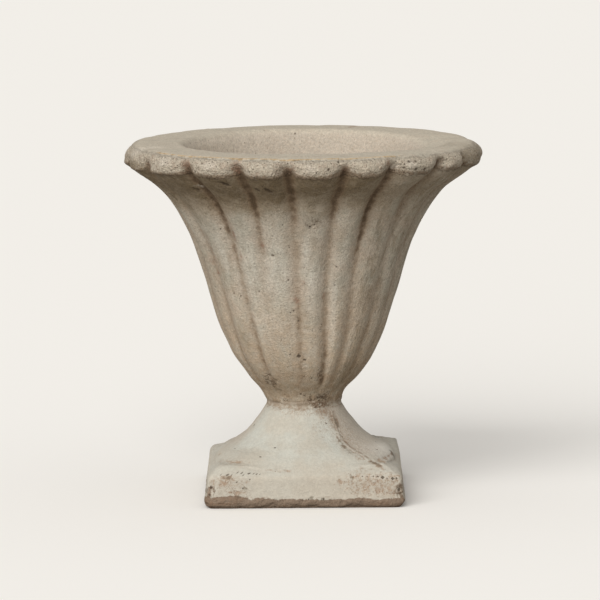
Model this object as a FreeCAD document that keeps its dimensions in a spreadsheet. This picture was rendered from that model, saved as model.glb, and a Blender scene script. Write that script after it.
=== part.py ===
# Lobed tulip urn of cast stone: a bowl mortared and pinned to a round foot on a square plinth.
# Millimetres. +Z is up, the front faces -Y, the origin is the middle of the plinth's underside.
import FreeCAD, Part
import Sketcher
import math
import os

doc = FreeCAD.newDocument("tulip_urn")

# Driving dimensions, one row of the sheet each.
DIMENSIONS = {
    # Square plinth
    "plinth_top_width": 191.0,
    "plinth_bottom_width": 199.0,
    "plinth_height": 32.3,
    "plinth_bevel": 5.0,
    "plinth_arris_round": 2.5,
    # Round foot that sweeps up to the neck
    "plinth_ledge": 5.0,
    "foot_edge_height": 5.5,
    "foot_roll_width": 8.5,
    "foot_roll_height": 11.5,
    "foot_roll_radius": 14.0,
    "foot_cove_radius": 87.0,
    "foot_height": 57.5,
    "neck_radius": 37.4,
    # Mortar bed and the pipe grouted through it
    "mortar_thickness": 5.0,
    "mortar_recess": 0.8,
    "pipe_outer_radius": 10.65,
    "pipe_wall": 2.65,
    "grout_thickness": 2.85,
    "socket_depth": 60.0,
    # Lobed bowl
    "bowl_height": 257.2,
    "rim_radius": 179.2,
    "bowl_floor_thickness": 40.0,
    "lower_wall": 26.5,
    "upper_wall": 36.5,
    "lip_width": 61.2,
    "mouth_round": 8.0,
    "floor_radius": 30.0,
    "floor_round": 30.0,
    "throat_round": 70.0,
    "cut_overrun": 10.0,
    # Steel ring in the rim
    "hoop_wire_radius": 3.0,
    "hoop_cover": 15.0,
}
LOBE_COUNT = 20
# Angle of the crease nearest the front, counted from the front (-Y) towards +X, in degrees.
FRONT_CREASE_ANGLE = -4.4
FRONT_DIRECTION = -90.0
FULL_TURN = 360.0

# Sections of the lobed bowl, bottom to top: share of the bowl's height, share of the way
# from the neck's radius to the rim's, and depth of the creases as a share of the radius.
BOWL_SECTION_SHARES = [
    (0.000, 0.000, 0.003),
    (0.037, 0.034, 0.010),
    (0.091, 0.119, 0.025),
    (0.157, 0.209, 0.035),
    (0.255, 0.298, 0.035),
    (0.391, 0.380, 0.035),
    (0.527, 0.453, 0.040),
    (0.651, 0.533, 0.050),
    (0.752, 0.633, 0.060),
    (0.830, 0.741, 0.062),
    (0.892, 0.882, 0.062),
    (0.935, 0.980, 0.056),
    (0.962, 1.000, 0.050),
    (0.984, 0.982, 0.038),
    (1.000, 0.925, 0.015),
]
# The two sections between which the inside wall runs straight.
LOWER_WALL_SHARES = BOWL_SECTION_SHARES[4]
UPPER_WALL_SHARES = BOWL_SECTION_SHARES[9]

sheet = doc.addObject("Spreadsheet::Sheet", "sizes")
for row, (name, value) in enumerate(DIMENSIONS.items(), start=1):
    sheet.set(f"A{row}", name)
    sheet.set(f"B{row}", str(value))
    sheet.setAlias(f"B{row}", name)
doc.recompute()


class Size:
    """A length read from the sheet, with the expression that it comes from."""

    def __init__(self, value, text):
        self.value = value
        self.text = text

    def __add__(self, other):
        return Size(self.value + other.value, f"({self.text} + {other.text})")

    def __sub__(self, other):
        return Size(self.value - other.value, f"({self.text} - {other.text})")

    def __mul__(self, share):
        return Size(self.value * share, f"({self.text} * {share})")

    def half(self):
        return Size(self.value / 2, f"({self.text} / 2)")


def size(name):
    return Size(float(sheet.get(name)), f"sizes.{name}")


ZERO = Size(0.0, "0 mm")

# Heights and radii where pieces meet, worked out once from the sheet.
plinth_top = size("plinth_height")
foot_top = plinth_top + size("foot_height")
bowl_bottom = foot_top + size("mortar_thickness")
bowl_top = bowl_bottom + size("bowl_height")
bowl_floor = bowl_bottom + size("bowl_floor_thickness")
socket_bottom = foot_top - size("socket_depth")
neck_radius = size("neck_radius")
pipe_outer_radius = size("pipe_outer_radius")
pipe_inner_radius = pipe_outer_radius - size("pipe_wall")
socket_radius = pipe_outer_radius + size("grout_thickness")
rim_radius = size("rim_radius")
mouth_radius = rim_radius - size("lip_width")
hoop_radius = (rim_radius + mouth_radius).half()
hoop_height = bowl_top - size("hoop_cover")
foot_edge_radius = size("plinth_top_width").half() - size("plinth_ledge")
foot_edge_top = plinth_top + size("foot_edge_height")


def new_body(label):
    body = doc.addObject("PartDesign::Body", label)
    body.Label = label
    return body


def new_sketch(body, name, role):
    """An empty sketch on one of the body's own origin planes."""
    sketch = body.newObject("Sketcher::SketchObject", name)
    for feature in body.Origin.OriginFeatures:
        if feature.Role == role:
            sketch.AttachmentSupport = [(feature, "")]
    sketch.MapMode = "FlatFace"
    return sketch


def pin_point(sketch, edge, end, radius, height):
    """Ties one end of a sketch edge to a radius and a height from the sheet."""
    for kind, axis, length in (("DistanceX", -2, radius), ("DistanceY", -1, height)):
        if length is ZERO:
            sketch.addConstraint(Sketcher.Constraint("PointOnObject", edge, end, axis))
        else:
            index = sketch.addConstraint(
                Sketcher.Constraint(kind, -1, 1, edge, end, length.value))
            sketch.setExpression(f"Constraints[{index}]", length.text)


def arc_between(start, end, radius, side):
    """The short arc between two points; side is +1 where it bulges to the left of start to end."""
    first = FreeCAD.Vector(start[0].value, start[1].value, 0)
    last = FreeCAD.Vector(end[0].value, end[1].value, 0)
    chord = last - first
    left = FreeCAD.Vector(-chord.y, chord.x, 0).normalize()
    reach = math.sqrt(radius.value ** 2 - (chord.Length / 2) ** 2)
    centre = (first + last) * 0.5 - left * (side * reach)
    circle = Part.Circle(centre, FreeCAD.Vector(0, 0, 1), radius.value)
    if side > 0:
        first, last = last, first
    return Part.ArcOfCircle(
        circle,
        math.atan2(first.y - centre.y, first.x - centre.x),
        math.atan2(last.y - centre.y, last.x - centre.x))


def draw_outline(sketch, points):
    """A closed outline. A point is (radius, height) and, where an arc leaves it, (arc radius, side)."""
    count = len(points)
    first_ends = []
    for number, point in enumerate(points):
        following = points[(number + 1) % count]
        if len(point) == 4:
            edge = arc_between(point, following, point[2], point[3])
            first_ends.append(2 if point[3] > 0 else 1)
        else:
            edge = Part.LineSegment(
                FreeCAD.Vector(point[0].value, point[1].value, 0),
                FreeCAD.Vector(following[0].value, following[1].value, 0))
            first_ends.append(1)
        sketch.addGeometry(edge, False)
    for number in range(count):
        following = (number + 1) % count
        sketch.addConstraint(Sketcher.Constraint(
            "Coincident", number, 3 - first_ends[number], following, first_ends[following]))
    for number, point in enumerate(points):
        pin_point(sketch, number, first_ends[number], point[0], point[1])
        if len(point) == 4:
            index = sketch.addConstraint(Sketcher.Constraint("Radius", number, point[2].value))
            sketch.setExpression(f"Constraints[{index}]", point[2].text)


def turn(body, kind, name, sketch):
    """Turns a sketch about the upright axis, adding (Revolution) or cutting (Groove)."""
    feature = body.newObject(kind, name)
    feature.Profile = sketch
    feature.ReferenceAxis = (sketch, ["V_Axis"])
    feature.Angle = FULL_TURN
    sketch.Visibility = False
    return feature


def draw_square(sketch, width):
    """A square centred on the origin."""
    reach = width.half().value
    corners = [(-reach, -reach), (reach, -reach), (reach, reach), (-reach, reach)]
    for side, corner in enumerate(corners):
        following = corners[(side + 1) % len(corners)]
        sketch.addGeometry(Part.LineSegment(
            FreeCAD.Vector(*corner, 0), FreeCAD.Vector(*following, 0)), False)
    for side in range(len(corners)):
        sketch.addConstraint(Sketcher.Constraint(
            "Coincident", side, 2, (side + 1) % len(corners), 1))
        direction = "Vertical" if side % 2 else "Horizontal"
        sketch.addConstraint(Sketcher.Constraint(direction, side))
    sketch.addConstraint(Sketcher.Constraint("Equal", 0, 1))
    sketch.addConstraint(Sketcher.Constraint("Symmetric", 0, 1, 2, 1, -1, 1))
    index = sketch.addConstraint(Sketcher.Constraint("Distance", 0, width.value))
    sketch.setExpression(f"Constraints[{index}]", width.text)


def make_foot():
    """Plinth with drafted sides, round foot above it, and the stepped bore for pipe and drain."""
    body = new_body("foot")
    square = new_sketch(body, "plinth_square", "XY_Plane")
    draw_square(square, size("plinth_bottom_width"))
    slab = body.newObject("PartDesign::Pad", "plinth_slab")
    slab.Profile = square
    slab.setExpression("Length", plinth_top.text)
    slab.setExpression("TaperAngle", "-atan((sizes.plinth_bottom_width - sizes.plinth_top_width)"
                                     " / 2 / sizes.plinth_height)")
    doc.recompute()

    bevel = body.newObject("PartDesign::Chamfer", "plinth_bevel")
    bevel.Base = (slab, edges_at(slab.Shape, 0.0))
    bevel.setExpression("Size", size("plinth_bevel").text)
    doc.recompute()
    arris = body.newObject("PartDesign::Fillet", "plinth_arris")
    arris.Base = (bevel, edges_at(bevel.Shape, plinth_top.value))
    arris.setExpression("Radius", size("plinth_arris_round").text)
    doc.recompute()

    profile = new_sketch(body, "foot_profile", "XZ_Plane")
    draw_outline(profile, [
        (ZERO, plinth_top),
        (foot_edge_radius, plinth_top),
        (foot_edge_radius, foot_edge_top, size("foot_roll_radius"), -1),
        (foot_edge_radius - size("foot_roll_width"), foot_edge_top + size("foot_roll_height"),
         size("foot_cove_radius"), 1),
        (neck_radius, foot_top),
        (ZERO, foot_top),
    ])
    turn(body, "PartDesign::Revolution", "round_foot", profile)
    doc.recompute()

    bore = new_sketch(body, "bore_profile", "XZ_Plane")
    draw_outline(bore, [
        (ZERO, ZERO),
        (pipe_inner_radius, ZERO),
        (pipe_inner_radius, socket_bottom),
        (socket_radius, socket_bottom),
        (socket_radius, foot_top),
        (ZERO, foot_top),
    ])
    turn(body, "PartDesign::Groove", "pipe_socket", bore)
    return body


def edges_at(shape, height):
    """Names of the edges that lie at one height."""
    tolerance = 1e-4
    names = []
    for number, edge in enumerate(shape.Edges, start=1):
        if abs(edge.BoundBox.ZMin - height) < tolerance and abs(edge.BoundBox.ZMax - height) < tolerance:
            names.append(f"Edge{number}")
    return names


def make_mortar():
    """Bed between the castings with the sleeve of grout round the pipe, above and below."""
    body = new_body("neck_mortar")
    bed_radius = neck_radius - size("mortar_recess")
    profile = new_sketch(body, "mortar_profile", "XZ_Plane")
    draw_outline(profile, [
        (pipe_outer_radius, socket_bottom),
        (socket_radius, socket_bottom),
        (socket_radius, foot_top),
        (bed_radius, foot_top),
        (bed_radius, bowl_bottom),
        (socket_radius, bowl_bottom),
        (socket_radius, bowl_floor),
        (pipe_outer_radius, bowl_floor),
    ])
    turn(body, "PartDesign::Revolution", "mortar_bed", profile)
    return body


def make_pipe():
    """Galvanised pipe that pins the castings and drains the bowl."""
    body = new_body("drain_pipe")
    profile = new_sketch(body, "pipe_profile", "XZ_Plane")
    draw_outline(profile, [
        (pipe_inner_radius, socket_bottom),
        (pipe_outer_radius, socket_bottom),
        (pipe_outer_radius, bowl_floor),
        (pipe_inner_radius, bowl_floor),
    ])
    turn(body, "PartDesign::Revolution", "pipe_wall", profile)
    return body


def lobed_ring(height, crown_radius, crease_share):
    """A closed ring of arcs, one for each lobe, from crease over crown to crease."""
    crease_radius = crown_radius * (1 - crease_share)
    step = FULL_TURN / LOBE_COUNT

    def place(radius, turn_angle):
        angle = math.radians(FRONT_DIRECTION + FRONT_CREASE_ANGLE + turn_angle)
        return FreeCAD.Vector(radius * math.cos(angle), radius * math.sin(angle), height)

    arcs = []
    for lobe in range(LOBE_COUNT):
        arcs.append(Part.Arc(
            place(crease_radius, lobe * step),
            place(crown_radius, (lobe + 0.5) * step),
            place(crease_radius, (lobe + 1) * step)).toShape())
    return Part.Wire(arcs)


def section_height(shares):
    return bowl_bottom + size("bowl_height") * shares[0]


def section_radius(shares):
    return neck_radius + (rim_radius - neck_radius) * shares[1]


def make_bowl():
    """Lobed shell lofted through its sections, then hollowed, bored and grooved for the hoop."""
    rings = []
    for shares in BOWL_SECTION_SHARES:
        rings.append(lobed_ring(section_height(shares).value, section_radius(shares).value, shares[2]))
    lobes = doc.addObject("Part::Feature", "bowl_lobes")
    lobes.Shape = Part.makeLoft(rings, True, False)

    body = new_body("bowl")
    body.BaseFeature = lobes
    doc.recompute()

    hollow = new_sketch(body, "hollow_profile", "XZ_Plane")
    above = bowl_top + size("cut_overrun")
    flare_radius = mouth_radius + size("mouth_round")
    draw_outline(hollow, [
        (ZERO, bowl_floor),
        (size("floor_radius"), bowl_floor, size("floor_round"), -1),
        (section_radius(LOWER_WALL_SHARES) - size("lower_wall"), section_height(LOWER_WALL_SHARES)),
        (section_radius(UPPER_WALL_SHARES) - size("upper_wall"), section_height(UPPER_WALL_SHARES),
         size("throat_round"), -1),
        (mouth_radius, bowl_top - size("mouth_round"), size("mouth_round"), 1),
        (flare_radius, bowl_top),
        (flare_radius, above),
        (ZERO, above),
    ])
    turn(body, "PartDesign::Groove", "bowl_hollow", hollow)
    doc.recompute()

    bore = new_sketch(body, "bore_profile", "XZ_Plane")
    draw_outline(bore, [
        (ZERO, bowl_bottom),
        (socket_radius, bowl_bottom),
        (socket_radius, bowl_floor),
        (ZERO, bowl_floor),
    ])
    turn(body, "PartDesign::Groove", "pipe_bore", bore)
    doc.recompute()

    channel = new_sketch(body, "hoop_channel_profile", "XZ_Plane")
    draw_wire_section(channel)
    turn(body, "PartDesign::Groove", "hoop_channel", channel)
    return body


def draw_wire_section(sketch):
    """The round section of the rim's steel wire."""
    centre = FreeCAD.Vector(hoop_radius.value, hoop_height.value, 0)
    sketch.addGeometry(Part.Circle(
        centre, FreeCAD.Vector(0, 0, 1), size("hoop_wire_radius").value), False)
    pin_point(sketch, 0, 3, hoop_radius, hoop_height)
    index = sketch.addConstraint(Sketcher.Constraint("Radius", 0, size("hoop_wire_radius").value))
    sketch.setExpression(f"Constraints[{index}]", size("hoop_wire_radius").text)


def make_hoop():
    """Steel ring cast into the lip."""
    body = new_body("rim_hoop")
    section = new_sketch(body, "wire_section", "XZ_Plane")
    draw_wire_section(section)
    turn(body, "PartDesign::Revolution", "wire_ring", section)
    return body


def check(pieces):
    for item in doc.Objects:
        if "Invalid" in item.State or "Error" in item.State:
            raise RuntimeError(f"{item.Label} failed: {item.State}")
    for piece in pieces:
        shape = piece.Shape
        if shape.isNull() or not shape.isValid():
            raise RuntimeError(f"{piece.Label} has no valid shape")
        if len(shape.Solids) != 1:
            raise RuntimeError(f"{piece.Label} has {len(shape.Solids)} solids")


pieces = [make_foot(), make_mortar(), make_pipe(), make_hoop(), make_bowl()]
doc.recompute()
check(pieces)
os.makedirs("parts", exist_ok=True)
for piece in pieces:
    piece.Shape.exportStep(f"parts/{piece.Label}.step")
    box = piece.Shape.optimalBoundingBox()
    print(f"{piece.Label}: {piece.Shape.Volume / 1000:.1f} cm3,"
          f" z {box.ZMin:.1f} to {box.ZMax:.1f}, width {box.XLength:.1f}")
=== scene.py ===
# %% [markdown]
# This lesson finishes a lobed tulip urn of cast stone. The urn was poured in a mould: a bowl with
# twenty lobes and a thick rim, and a round foot on a square plinth, set on each other in mortar.
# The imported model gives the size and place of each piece. Everything here is in metres, with the
# urn's axis on Z and its front towards -Y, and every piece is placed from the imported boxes.

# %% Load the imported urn
import math

import bpy
import numpy as np
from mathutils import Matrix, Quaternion, Vector


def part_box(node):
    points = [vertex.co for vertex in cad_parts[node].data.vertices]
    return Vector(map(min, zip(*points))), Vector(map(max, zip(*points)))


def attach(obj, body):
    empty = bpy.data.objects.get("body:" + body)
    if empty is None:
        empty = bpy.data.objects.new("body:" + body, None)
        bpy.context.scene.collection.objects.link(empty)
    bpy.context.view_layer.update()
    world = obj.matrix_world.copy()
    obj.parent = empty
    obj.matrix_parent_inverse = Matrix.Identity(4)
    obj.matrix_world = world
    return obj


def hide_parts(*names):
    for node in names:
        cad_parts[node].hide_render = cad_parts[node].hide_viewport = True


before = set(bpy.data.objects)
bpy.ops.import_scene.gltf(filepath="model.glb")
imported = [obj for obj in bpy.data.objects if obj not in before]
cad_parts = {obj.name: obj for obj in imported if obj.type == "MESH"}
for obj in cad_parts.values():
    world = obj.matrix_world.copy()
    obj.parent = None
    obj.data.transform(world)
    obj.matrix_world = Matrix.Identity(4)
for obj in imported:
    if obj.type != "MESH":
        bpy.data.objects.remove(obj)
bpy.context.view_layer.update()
MM = 0.001
bowl_low, bowl_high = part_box("bowl")
foot_low, foot_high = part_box("foot")
mortar_low, mortar_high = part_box("neck_mortar")
pipe_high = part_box("drain_pipe")[1]


# %% [markdown]
# Some sizes aren't in the boxes, such as the radius of the bowl's mouth. They can be read from the
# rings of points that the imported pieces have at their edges, so nothing is typed in twice.

# %% Read the radii of edges
SAME_HEIGHT = 0.05 * MM


def edge_radius(node, height, widest):
    """Radius of a node's outermost or innermost ring of points at one height."""
    found = [math.hypot(v.co.x, v.co.y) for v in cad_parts[node].data.vertices
             if abs(v.co.z - height) < SAME_HEIGHT]
    return max(found) if widest else min(found)


neck_radius = edge_radius("bowl", bowl_low.z, True)
socket_radius = edge_radius("bowl", bowl_low.z, False)
mouth_radius = edge_radius("bowl", bowl_high.z, False)
drain_radius = edge_radius("foot", foot_low.z, False)
foot_top_radius = edge_radius("foot", foot_high.z, True)
rim_radius = bowl_high.x
plinth_reach = foot_high.x
bowl_floor = mortar_high.z
socket_bottom = mortar_low.z
bowl_height = bowl_high.z - bowl_low.z
print("neck, socket, mouth, drain radius in mm:",
      [round(r / MM, 1) for r in (neck_radius, socket_radius, mouth_radius, drain_radius)])


# %% [markdown]
# The camera stands where the photograph was taken from: 4.6 m away and half a metre above the rim,
# looking down by nearly 8 degrees through a long lens. It comes first, because each later step is
# judged through it.

# %% Camera at the photograph's angle
CAMERA_PLACE = (-3.3 * MM, -4530.3 * MM, 806.8 * MM)
CAMERA_AIM = (-3.3 * MM, 0.0, 193.3 * MM)
CAMERA_LENS = 275.2
CAMERA_ROLL = math.radians(-0.44)
CAMERA_SIGHT = 60.0


def stand(name, data):
    """Puts an object into the scene."""
    made = bpy.data.objects.new(name, data)
    bpy.context.scene.collection.objects.link(made)
    return made


camera = stand("camera", bpy.data.cameras.new("camera"))
camera.location = CAMERA_PLACE
towards = Vector(CAMERA_AIM) - Vector(CAMERA_PLACE)
rolled = towards.to_track_quat("-Z", "Y") @ Quaternion((0.0, 0.0, 1.0), CAMERA_ROLL)
camera.rotation_euler = rolled.to_euler()
camera.data.lens = CAMERA_LENS
camera.data.clip_end = CAMERA_SIGHT
bpy.context.scene.camera = camera
print("camera", round(towards.length, 2), "m from the urn's axis")


# %% [markdown]
# Node trees are long to write out, so a few helpers shorten them. One adds a node, sets it up and
# fills its inputs, with a link where it is given a wire and with a value where it isn't. What comes
# out of a node is kept as a wire, and sums on wires are written as plain arithmetic.

# %% Helpers for node trees
def sum_step(operation, swapped=False):
    """A sum of a wire and another value, which is swapped where the other value stands first."""
    def method(self, other):
        return calc(self.tree, operation, *((other, self) if swapped else (self, other)))
    return method


class Wire:
    """An output of a node, on which sums can be written."""
    __add__ = __radd__ = sum_step("ADD")
    __mul__ = __rmul__ = sum_step("MULTIPLY")
    __sub__, __rsub__ = sum_step("SUBTRACT"), sum_step("SUBTRACT", True)
    __truediv__, __rtruediv__ = sum_step("DIVIDE"), sum_step("DIVIDE", True)
    __pow__ = sum_step("POWER")

    def __init__(self, tree, socket):
        self.tree, self.socket = tree, socket

    def into(self, socket):
        """Leads the wire into a node's input."""
        self.tree.links.new(self.socket, socket)


def place(tree, kind, inputs=None, **settings):
    """Adds a node to a tree and fills its inputs."""
    made = tree.nodes.new(kind)
    for name, value in settings.items():
        setattr(made, name, value)
    for key, value in (inputs or {}).items():
        if isinstance(value, Wire):
            value.into(made.inputs[key])
        else:
            made.inputs[key].default_value = value
    return made


def wire(tree, kind, inputs=None, output=0, **settings):
    """Adds a node and gives one of its outputs."""
    return Wire(tree, place(tree, kind, inputs, **settings).outputs[output])


def calc(tree, operation, *values):
    """One step of a sum on numbers."""
    return wire(tree, "ShaderNodeMath", dict(enumerate(values)), operation=operation)


def calc_place(tree, operation, inputs):
    """One step of a sum on places."""
    return wire(tree, "ShaderNodeVectorMath", inputs, operation=operation)


def blend(tree, share, under, over):
    """Mixes two colours."""
    return wire(tree, "ShaderNodeMix", {0: share, 6: under, 7: over}, 2, data_type="RGBA")


def fade(tree, value, low, high):
    """0 below low, 1 above high and a soft step between."""
    return wire(tree, "ShaderNodeMapRange", {"Value": value, "From Min": low, "From Max": high}, "Result",
                interpolation_type="SMOOTHSTEP")


def painted(tree, name):
    """The value that the mesh carries under that name."""
    return wire(tree, "ShaderNodeAttribute", output="Fac", attribute_name=name)


def node_group(name, kind, inputs, outputs):
    """An empty node group with named sockets, its inputs as wires and its way out."""
    tree = bpy.data.node_groups.new(name, kind)
    for title, form, value in inputs:
        socket = tree.interface.new_socket(title, in_out="INPUT", socket_type="NodeSocket" + form)
        if value is not None:
            socket.default_value = value
    for title, form in outputs:
        tree.interface.new_socket(title, in_out="OUTPUT", socket_type="NodeSocket" + form)
    given = {socket.name: Wire(tree, socket) for socket in tree.nodes.new("NodeGroupInput").outputs}
    return tree, given, tree.nodes.new("NodeGroupOutput").inputs


def end_shape(tree, geometry, finish, out):
    """Ends a tree of a shape: its real faces, with their finish on them."""
    real = wire(tree, "GeometryNodeRealizeInstances", {"Geometry": geometry})
    wire(tree, "GeometryNodeSetMaterial", {"Geometry": real, "Material": finish}).into(out)


SLOTS = ("bowl_stone", "foot_stone", "mortar", "galvanised_steel", "steel_wire")
finishes = {slot: bpy.data.materials.new(slot) for slot in SLOTS}
print("finishes to make:", ", ".join(SLOTS))


# %% [markdown]
# Both castings are round things with something that repeats: twenty lobes on the bowl, four
# corners on the plinth. They could be carved with modifiers or spun with bmesh. Geometry Nodes suit
# them better, because the whole shape is one rule: a profile is swept round a circle, its faces are
# flipped to look outwards, and each point is then set from its row's radius and height, with a
# notch at every crease and the pull towards a square that the row asks for. Points crowd together
# at the creases and corners, where the shape turns most. The tree also leaves its numbers on the
# mesh, for the hand work later on.

# %% Geometry Nodes tree of a turned casting
CORNER_POWER = 38.0
TREE_INPUTS = [
    ("Geometry", "Geometry", None), ("Segments", "Int", 520), ("Repeats", "Int", 20),
    ("First Mark", "Float", 0.0), ("Crowding", "Float", 0.4), ("Crease Softness", "Float", 0.15),
    ("Corner Power", "Float", CORNER_POWER), ("Finish", "Material", None),
]
SHAPE_OUTPUT = [("Geometry", "Geometry")]


def casting_tree():
    """Turns a profile into a casting, with lobes and corners as each row asks."""
    tree, given, out = node_group("turned casting", "GeometryNodeTree", TREE_INPUTS, SHAPE_OUTPUT)

    def row(name):
        return wire(tree, "GeometryNodeInputNamedAttribute", {"Name": name}, data_type="FLOAT")

    def keep(geometry, name, value):
        return wire(tree, "GeometryNodeStoreNamedAttribute",
                    {"Geometry": geometry, "Name": name, "Value": value}, data_type="FLOAT", domain="POINT")

    profile = wire(tree, "GeometryNodeMeshToCurve", {"Mesh": given["Geometry"]})
    circle = wire(tree, "GeometryNodeCurvePrimitiveCircle", {"Resolution": given["Segments"]})
    circle = keep(circle, "mark", wire(tree, "GeometryNodeInputIndex") / given["Segments"] * given["Repeats"])
    swept = wire(tree, "GeometryNodeCurveToMesh", {"Curve": circle, "Profile Curve": profile})
    swept = wire(tree, "GeometryNodeFlipFaces", {"Mesh": swept})

    # Crowd the points at the marks, then turn them into angles from the front.
    wave = calc(tree, "SINE", row("mark") * math.tau)
    crowded = row("mark") - wave * given["Crowding"] / math.tau
    swept = keep(swept, "turn", crowded * math.tau / given["Repeats"] + given["First Mark"])

    # 1 at a crease, 0 over the crown between two creases, and round at the bottom of the crease.
    soft = given["Crease Softness"]
    aside = 1.0 - calc(tree, "ABSOLUTE", calc(tree, "FRACT", crowded) * 2.0 - 1.0)

    def rounded(value):
        return calc(tree, "SQRT", soft * soft + value * value) - soft

    away = rounded(aside) / rounded(1.0)
    swept = keep(swept, "crease", calc(tree, "MAXIMUM", 1.0 - away, 0.0) ** row("notch_power"))

    sine, cosine = calc(tree, "SINE", row("turn")), calc(tree, "COSINE", row("turn"))
    power = given["Corner Power"]
    bulge = calc(tree, "ABSOLUTE", sine) ** power + calc(tree, "ABSOLUTE", cosine) ** power
    square = (bulge ** (-1.0 / power) - 1.0) * row("square_share") + 1.0
    radius = row("ring_radius") * square * (1.0 - row("crease") * row("crease_share"))
    height = row("ring_height") + row("crease") * row("lift")
    position = wire(tree, "ShaderNodeCombineXYZ", {0: radius * sine, 1: radius * cosine * -1.0, 2: height})
    placed = wire(tree, "GeometryNodeSetPosition", {"Geometry": swept, "Position": position})
    smooth = wire(tree, "GeometryNodeSetShadeSmooth", {"Geometry": placed})
    end_shape(tree, smooth, given["Finish"], out[0])
    return tree


turned_casting = casting_tree()
print("tree:", turned_casting.name, "with", len(turned_casting.nodes), "nodes")


# %% [markdown]
# A profile is a closed line of rows. Each row has a radius, a height and what the tree reads: the
# depth of the creases as a share of the radius, how flat the lobes are, how far the crease lifts
# the edge, and how square the row is. A soft curve is laid through a few chosen rows, and then rows
# are picked along it, close together where detail is wanted.

# %% Helpers for profiles
ROW_NAMES = ("ring_radius", "ring_height", "crease_share", "notch_power", "lift", "square_share")
FINE_STEPS = 3000


def soft_line(rows):
    """A fine curve through the rows, smooth in every column."""
    rows = np.array(rows, float)
    steps = np.hypot(*np.diff(rows[:, :2], axis=0).T)
    along = np.concatenate([[0.0], np.cumsum(steps)])
    slopes = np.gradient(rows, along, axis=0)
    wanted = np.linspace(0.0, along[-1], FINE_STEPS)
    part = np.clip(np.searchsorted(along, wanted, "right") - 1, 0, len(steps) - 1)
    width = steps[part][:, None]
    t = (wanted - along[part])[:, None] / width
    return ((2 * t ** 3 - 3 * t ** 2 + 1) * rows[part] + (t ** 3 - 2 * t ** 2 + t) * width * slopes[part]
            + (3 * t ** 2 - 2 * t ** 3) * rows[part + 1] + (t ** 3 - t ** 2) * width * slopes[part + 1])


def spread_rows(line, spacing):
    """Rows of a line that lie `spacing` apart, which may be one length or one for each point."""
    steps = np.hypot(*np.diff(line[:, :2], axis=0).T)
    spacing = np.broadcast_to(spacing, len(line))
    count = np.concatenate([[0.0], np.cumsum(steps / ((spacing[1:] + spacing[:-1]) / 2))])
    wanted = np.linspace(0.0, count[-1], int(round(count[-1])) + 1)
    return np.column_stack([np.interp(wanted, count, column) for column in line.T])


def plain_row(radius, height, power=1.0, square=0.0):
    """A row without creases."""
    return (radius, height, 0.0, power, 0.0, square)


def make_casting(name, rows, finish, **sizes):
    """Runs the tree on a closed profile and keeps the result as a plain mesh."""
    mesh = bpy.data.meshes.new(name)
    mesh.from_pydata([(row[0], row[1], 0.0) for row in rows],
                     [(i, (i + 1) % len(rows)) for i in range(len(rows))], [])
    for column, title in enumerate(ROW_NAMES):
        mesh.attributes.new(title, "FLOAT", "POINT").data.foreach_set(
            "value", np.array([row[column] for row in rows], np.float32))
    piece = stand(name, mesh)
    run_tree(piece, turned_casting, Finish=finishes[finish], **sizes)
    return piece


def run_tree(piece, tree, **sizes):
    """Puts a tree on a piece, sets its inputs, and turns what it makes into the piece's own mesh."""
    modifier = piece.modifiers.new(tree.name, "NODES")
    modifier.node_group = tree
    for item in tree.interface.items_tree:
        key = item.name.replace(" ", "_")
        if item.item_type == "SOCKET" and item.in_out == "INPUT" and key in sizes:
            modifier[item.identifier] = sizes[key]
    piece.update_tag()
    evaluated = piece.evaluated_get(bpy.context.evaluated_depsgraph_get())
    made = bpy.data.meshes.new_from_object(evaluated)
    piece.modifiers.remove(modifier)
    piece.data = made
    made.name = piece.name
    triangles = sum(len(p.vertices) - 2 for p in made.polygons)
    print(f"{piece.name}: {len(made.vertices)} points, {triangles} triangles")


# %% [markdown]
# The bowl is one casting. Its outside rises from the neck in a long S, flares under the rim and
# turns over a blunt, sandy bead into the flat lip. The rows below give height as a share of the
# bowl's height, radius as a share of the way from the neck to the rim, crease depth as a share of
# the radius, flatness of the lobes and lift of the edge in the creases as a share of the height.

# %% Bowl: profile
# From the neck up to the lip: height, radius, crease depth, flatness and lift, as said above.
OUTSIDE_SHARES = [
    (0, 0, 0.001, 2.4, 0), (0.037, 0.034, 0.006, 2.4, 0), (0.091, 0.119, 0.022, 2.4, 0),
    (0.157, 0.209, 0.038, 2.2, 0), (0.255, 0.298, 0.044, 2.1, 0), (0.391, 0.38, 0.044, 2.1, 0),
    (0.527, 0.453, 0.042, 2.2, 0), (0.651, 0.533, 0.046, 2.5, 0), (0.752, 0.633, 0.052, 2.8, 0),
    (0.83, 0.746, 0.057, 3.2, 0), (0.892, 0.899, 0.06, 3.6, 0.003), (0.911, 0.94, 0.061, 3.9, 0.006),
    (0.927, 0.975, 0.061, 4, 0.01), (0.943, 0.994, 0.058, 3.6, 0.013), (0.957, 1, 0.052, 3.3, 0.013),
    (0.968, 0.996, 0.043, 3, 0.01), (0.98, 0.98, 0.03, 2.8, 0.005), (0.991, 0.952, 0.018, 2.8, 0.001),
    (0.998, 0.915, 0.011, 3, 0), (1, 0.87, 0.008, 3, 0),
]
# From the lip down the inside to the floor: height share, radius as a share of the mouth's.
INSIDE_SHARES = [
    (1, 1.13), (1, 1.04), (0.998, 0.99), (0.991, 0.962), (0.975, 0.94), (0.93, 0.912), (0.885, 0.885),
    (0.83, 0.841), (0.64, 0.699), (0.44, 0.56), (0.255, 0.422), (0.205, 0.385), (0.176, 0.328),
    (0.16, 0.27), (0.1555, 0.215), (0.1555, 0.15),
]
INSIDE_POWER = 4.0
# How far apart the rows are, on the outside and the inside, low down and from the bead upwards.
BODY_ROW = 2.2 * MM
BEAD_ROW = 1.1 * MM
INSIDE_ROW = 9.0 * MM
MOUTH_ROW = 3.0 * MM
BEAD_START_SHARE = 0.86
BEAD_FADE_SHARE = 0.06
LIP_START = 0.2 * MM
LOBES = 20
FIRST_CREASE = math.radians(-4.4)
LOBE_POINTS = 23


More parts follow.
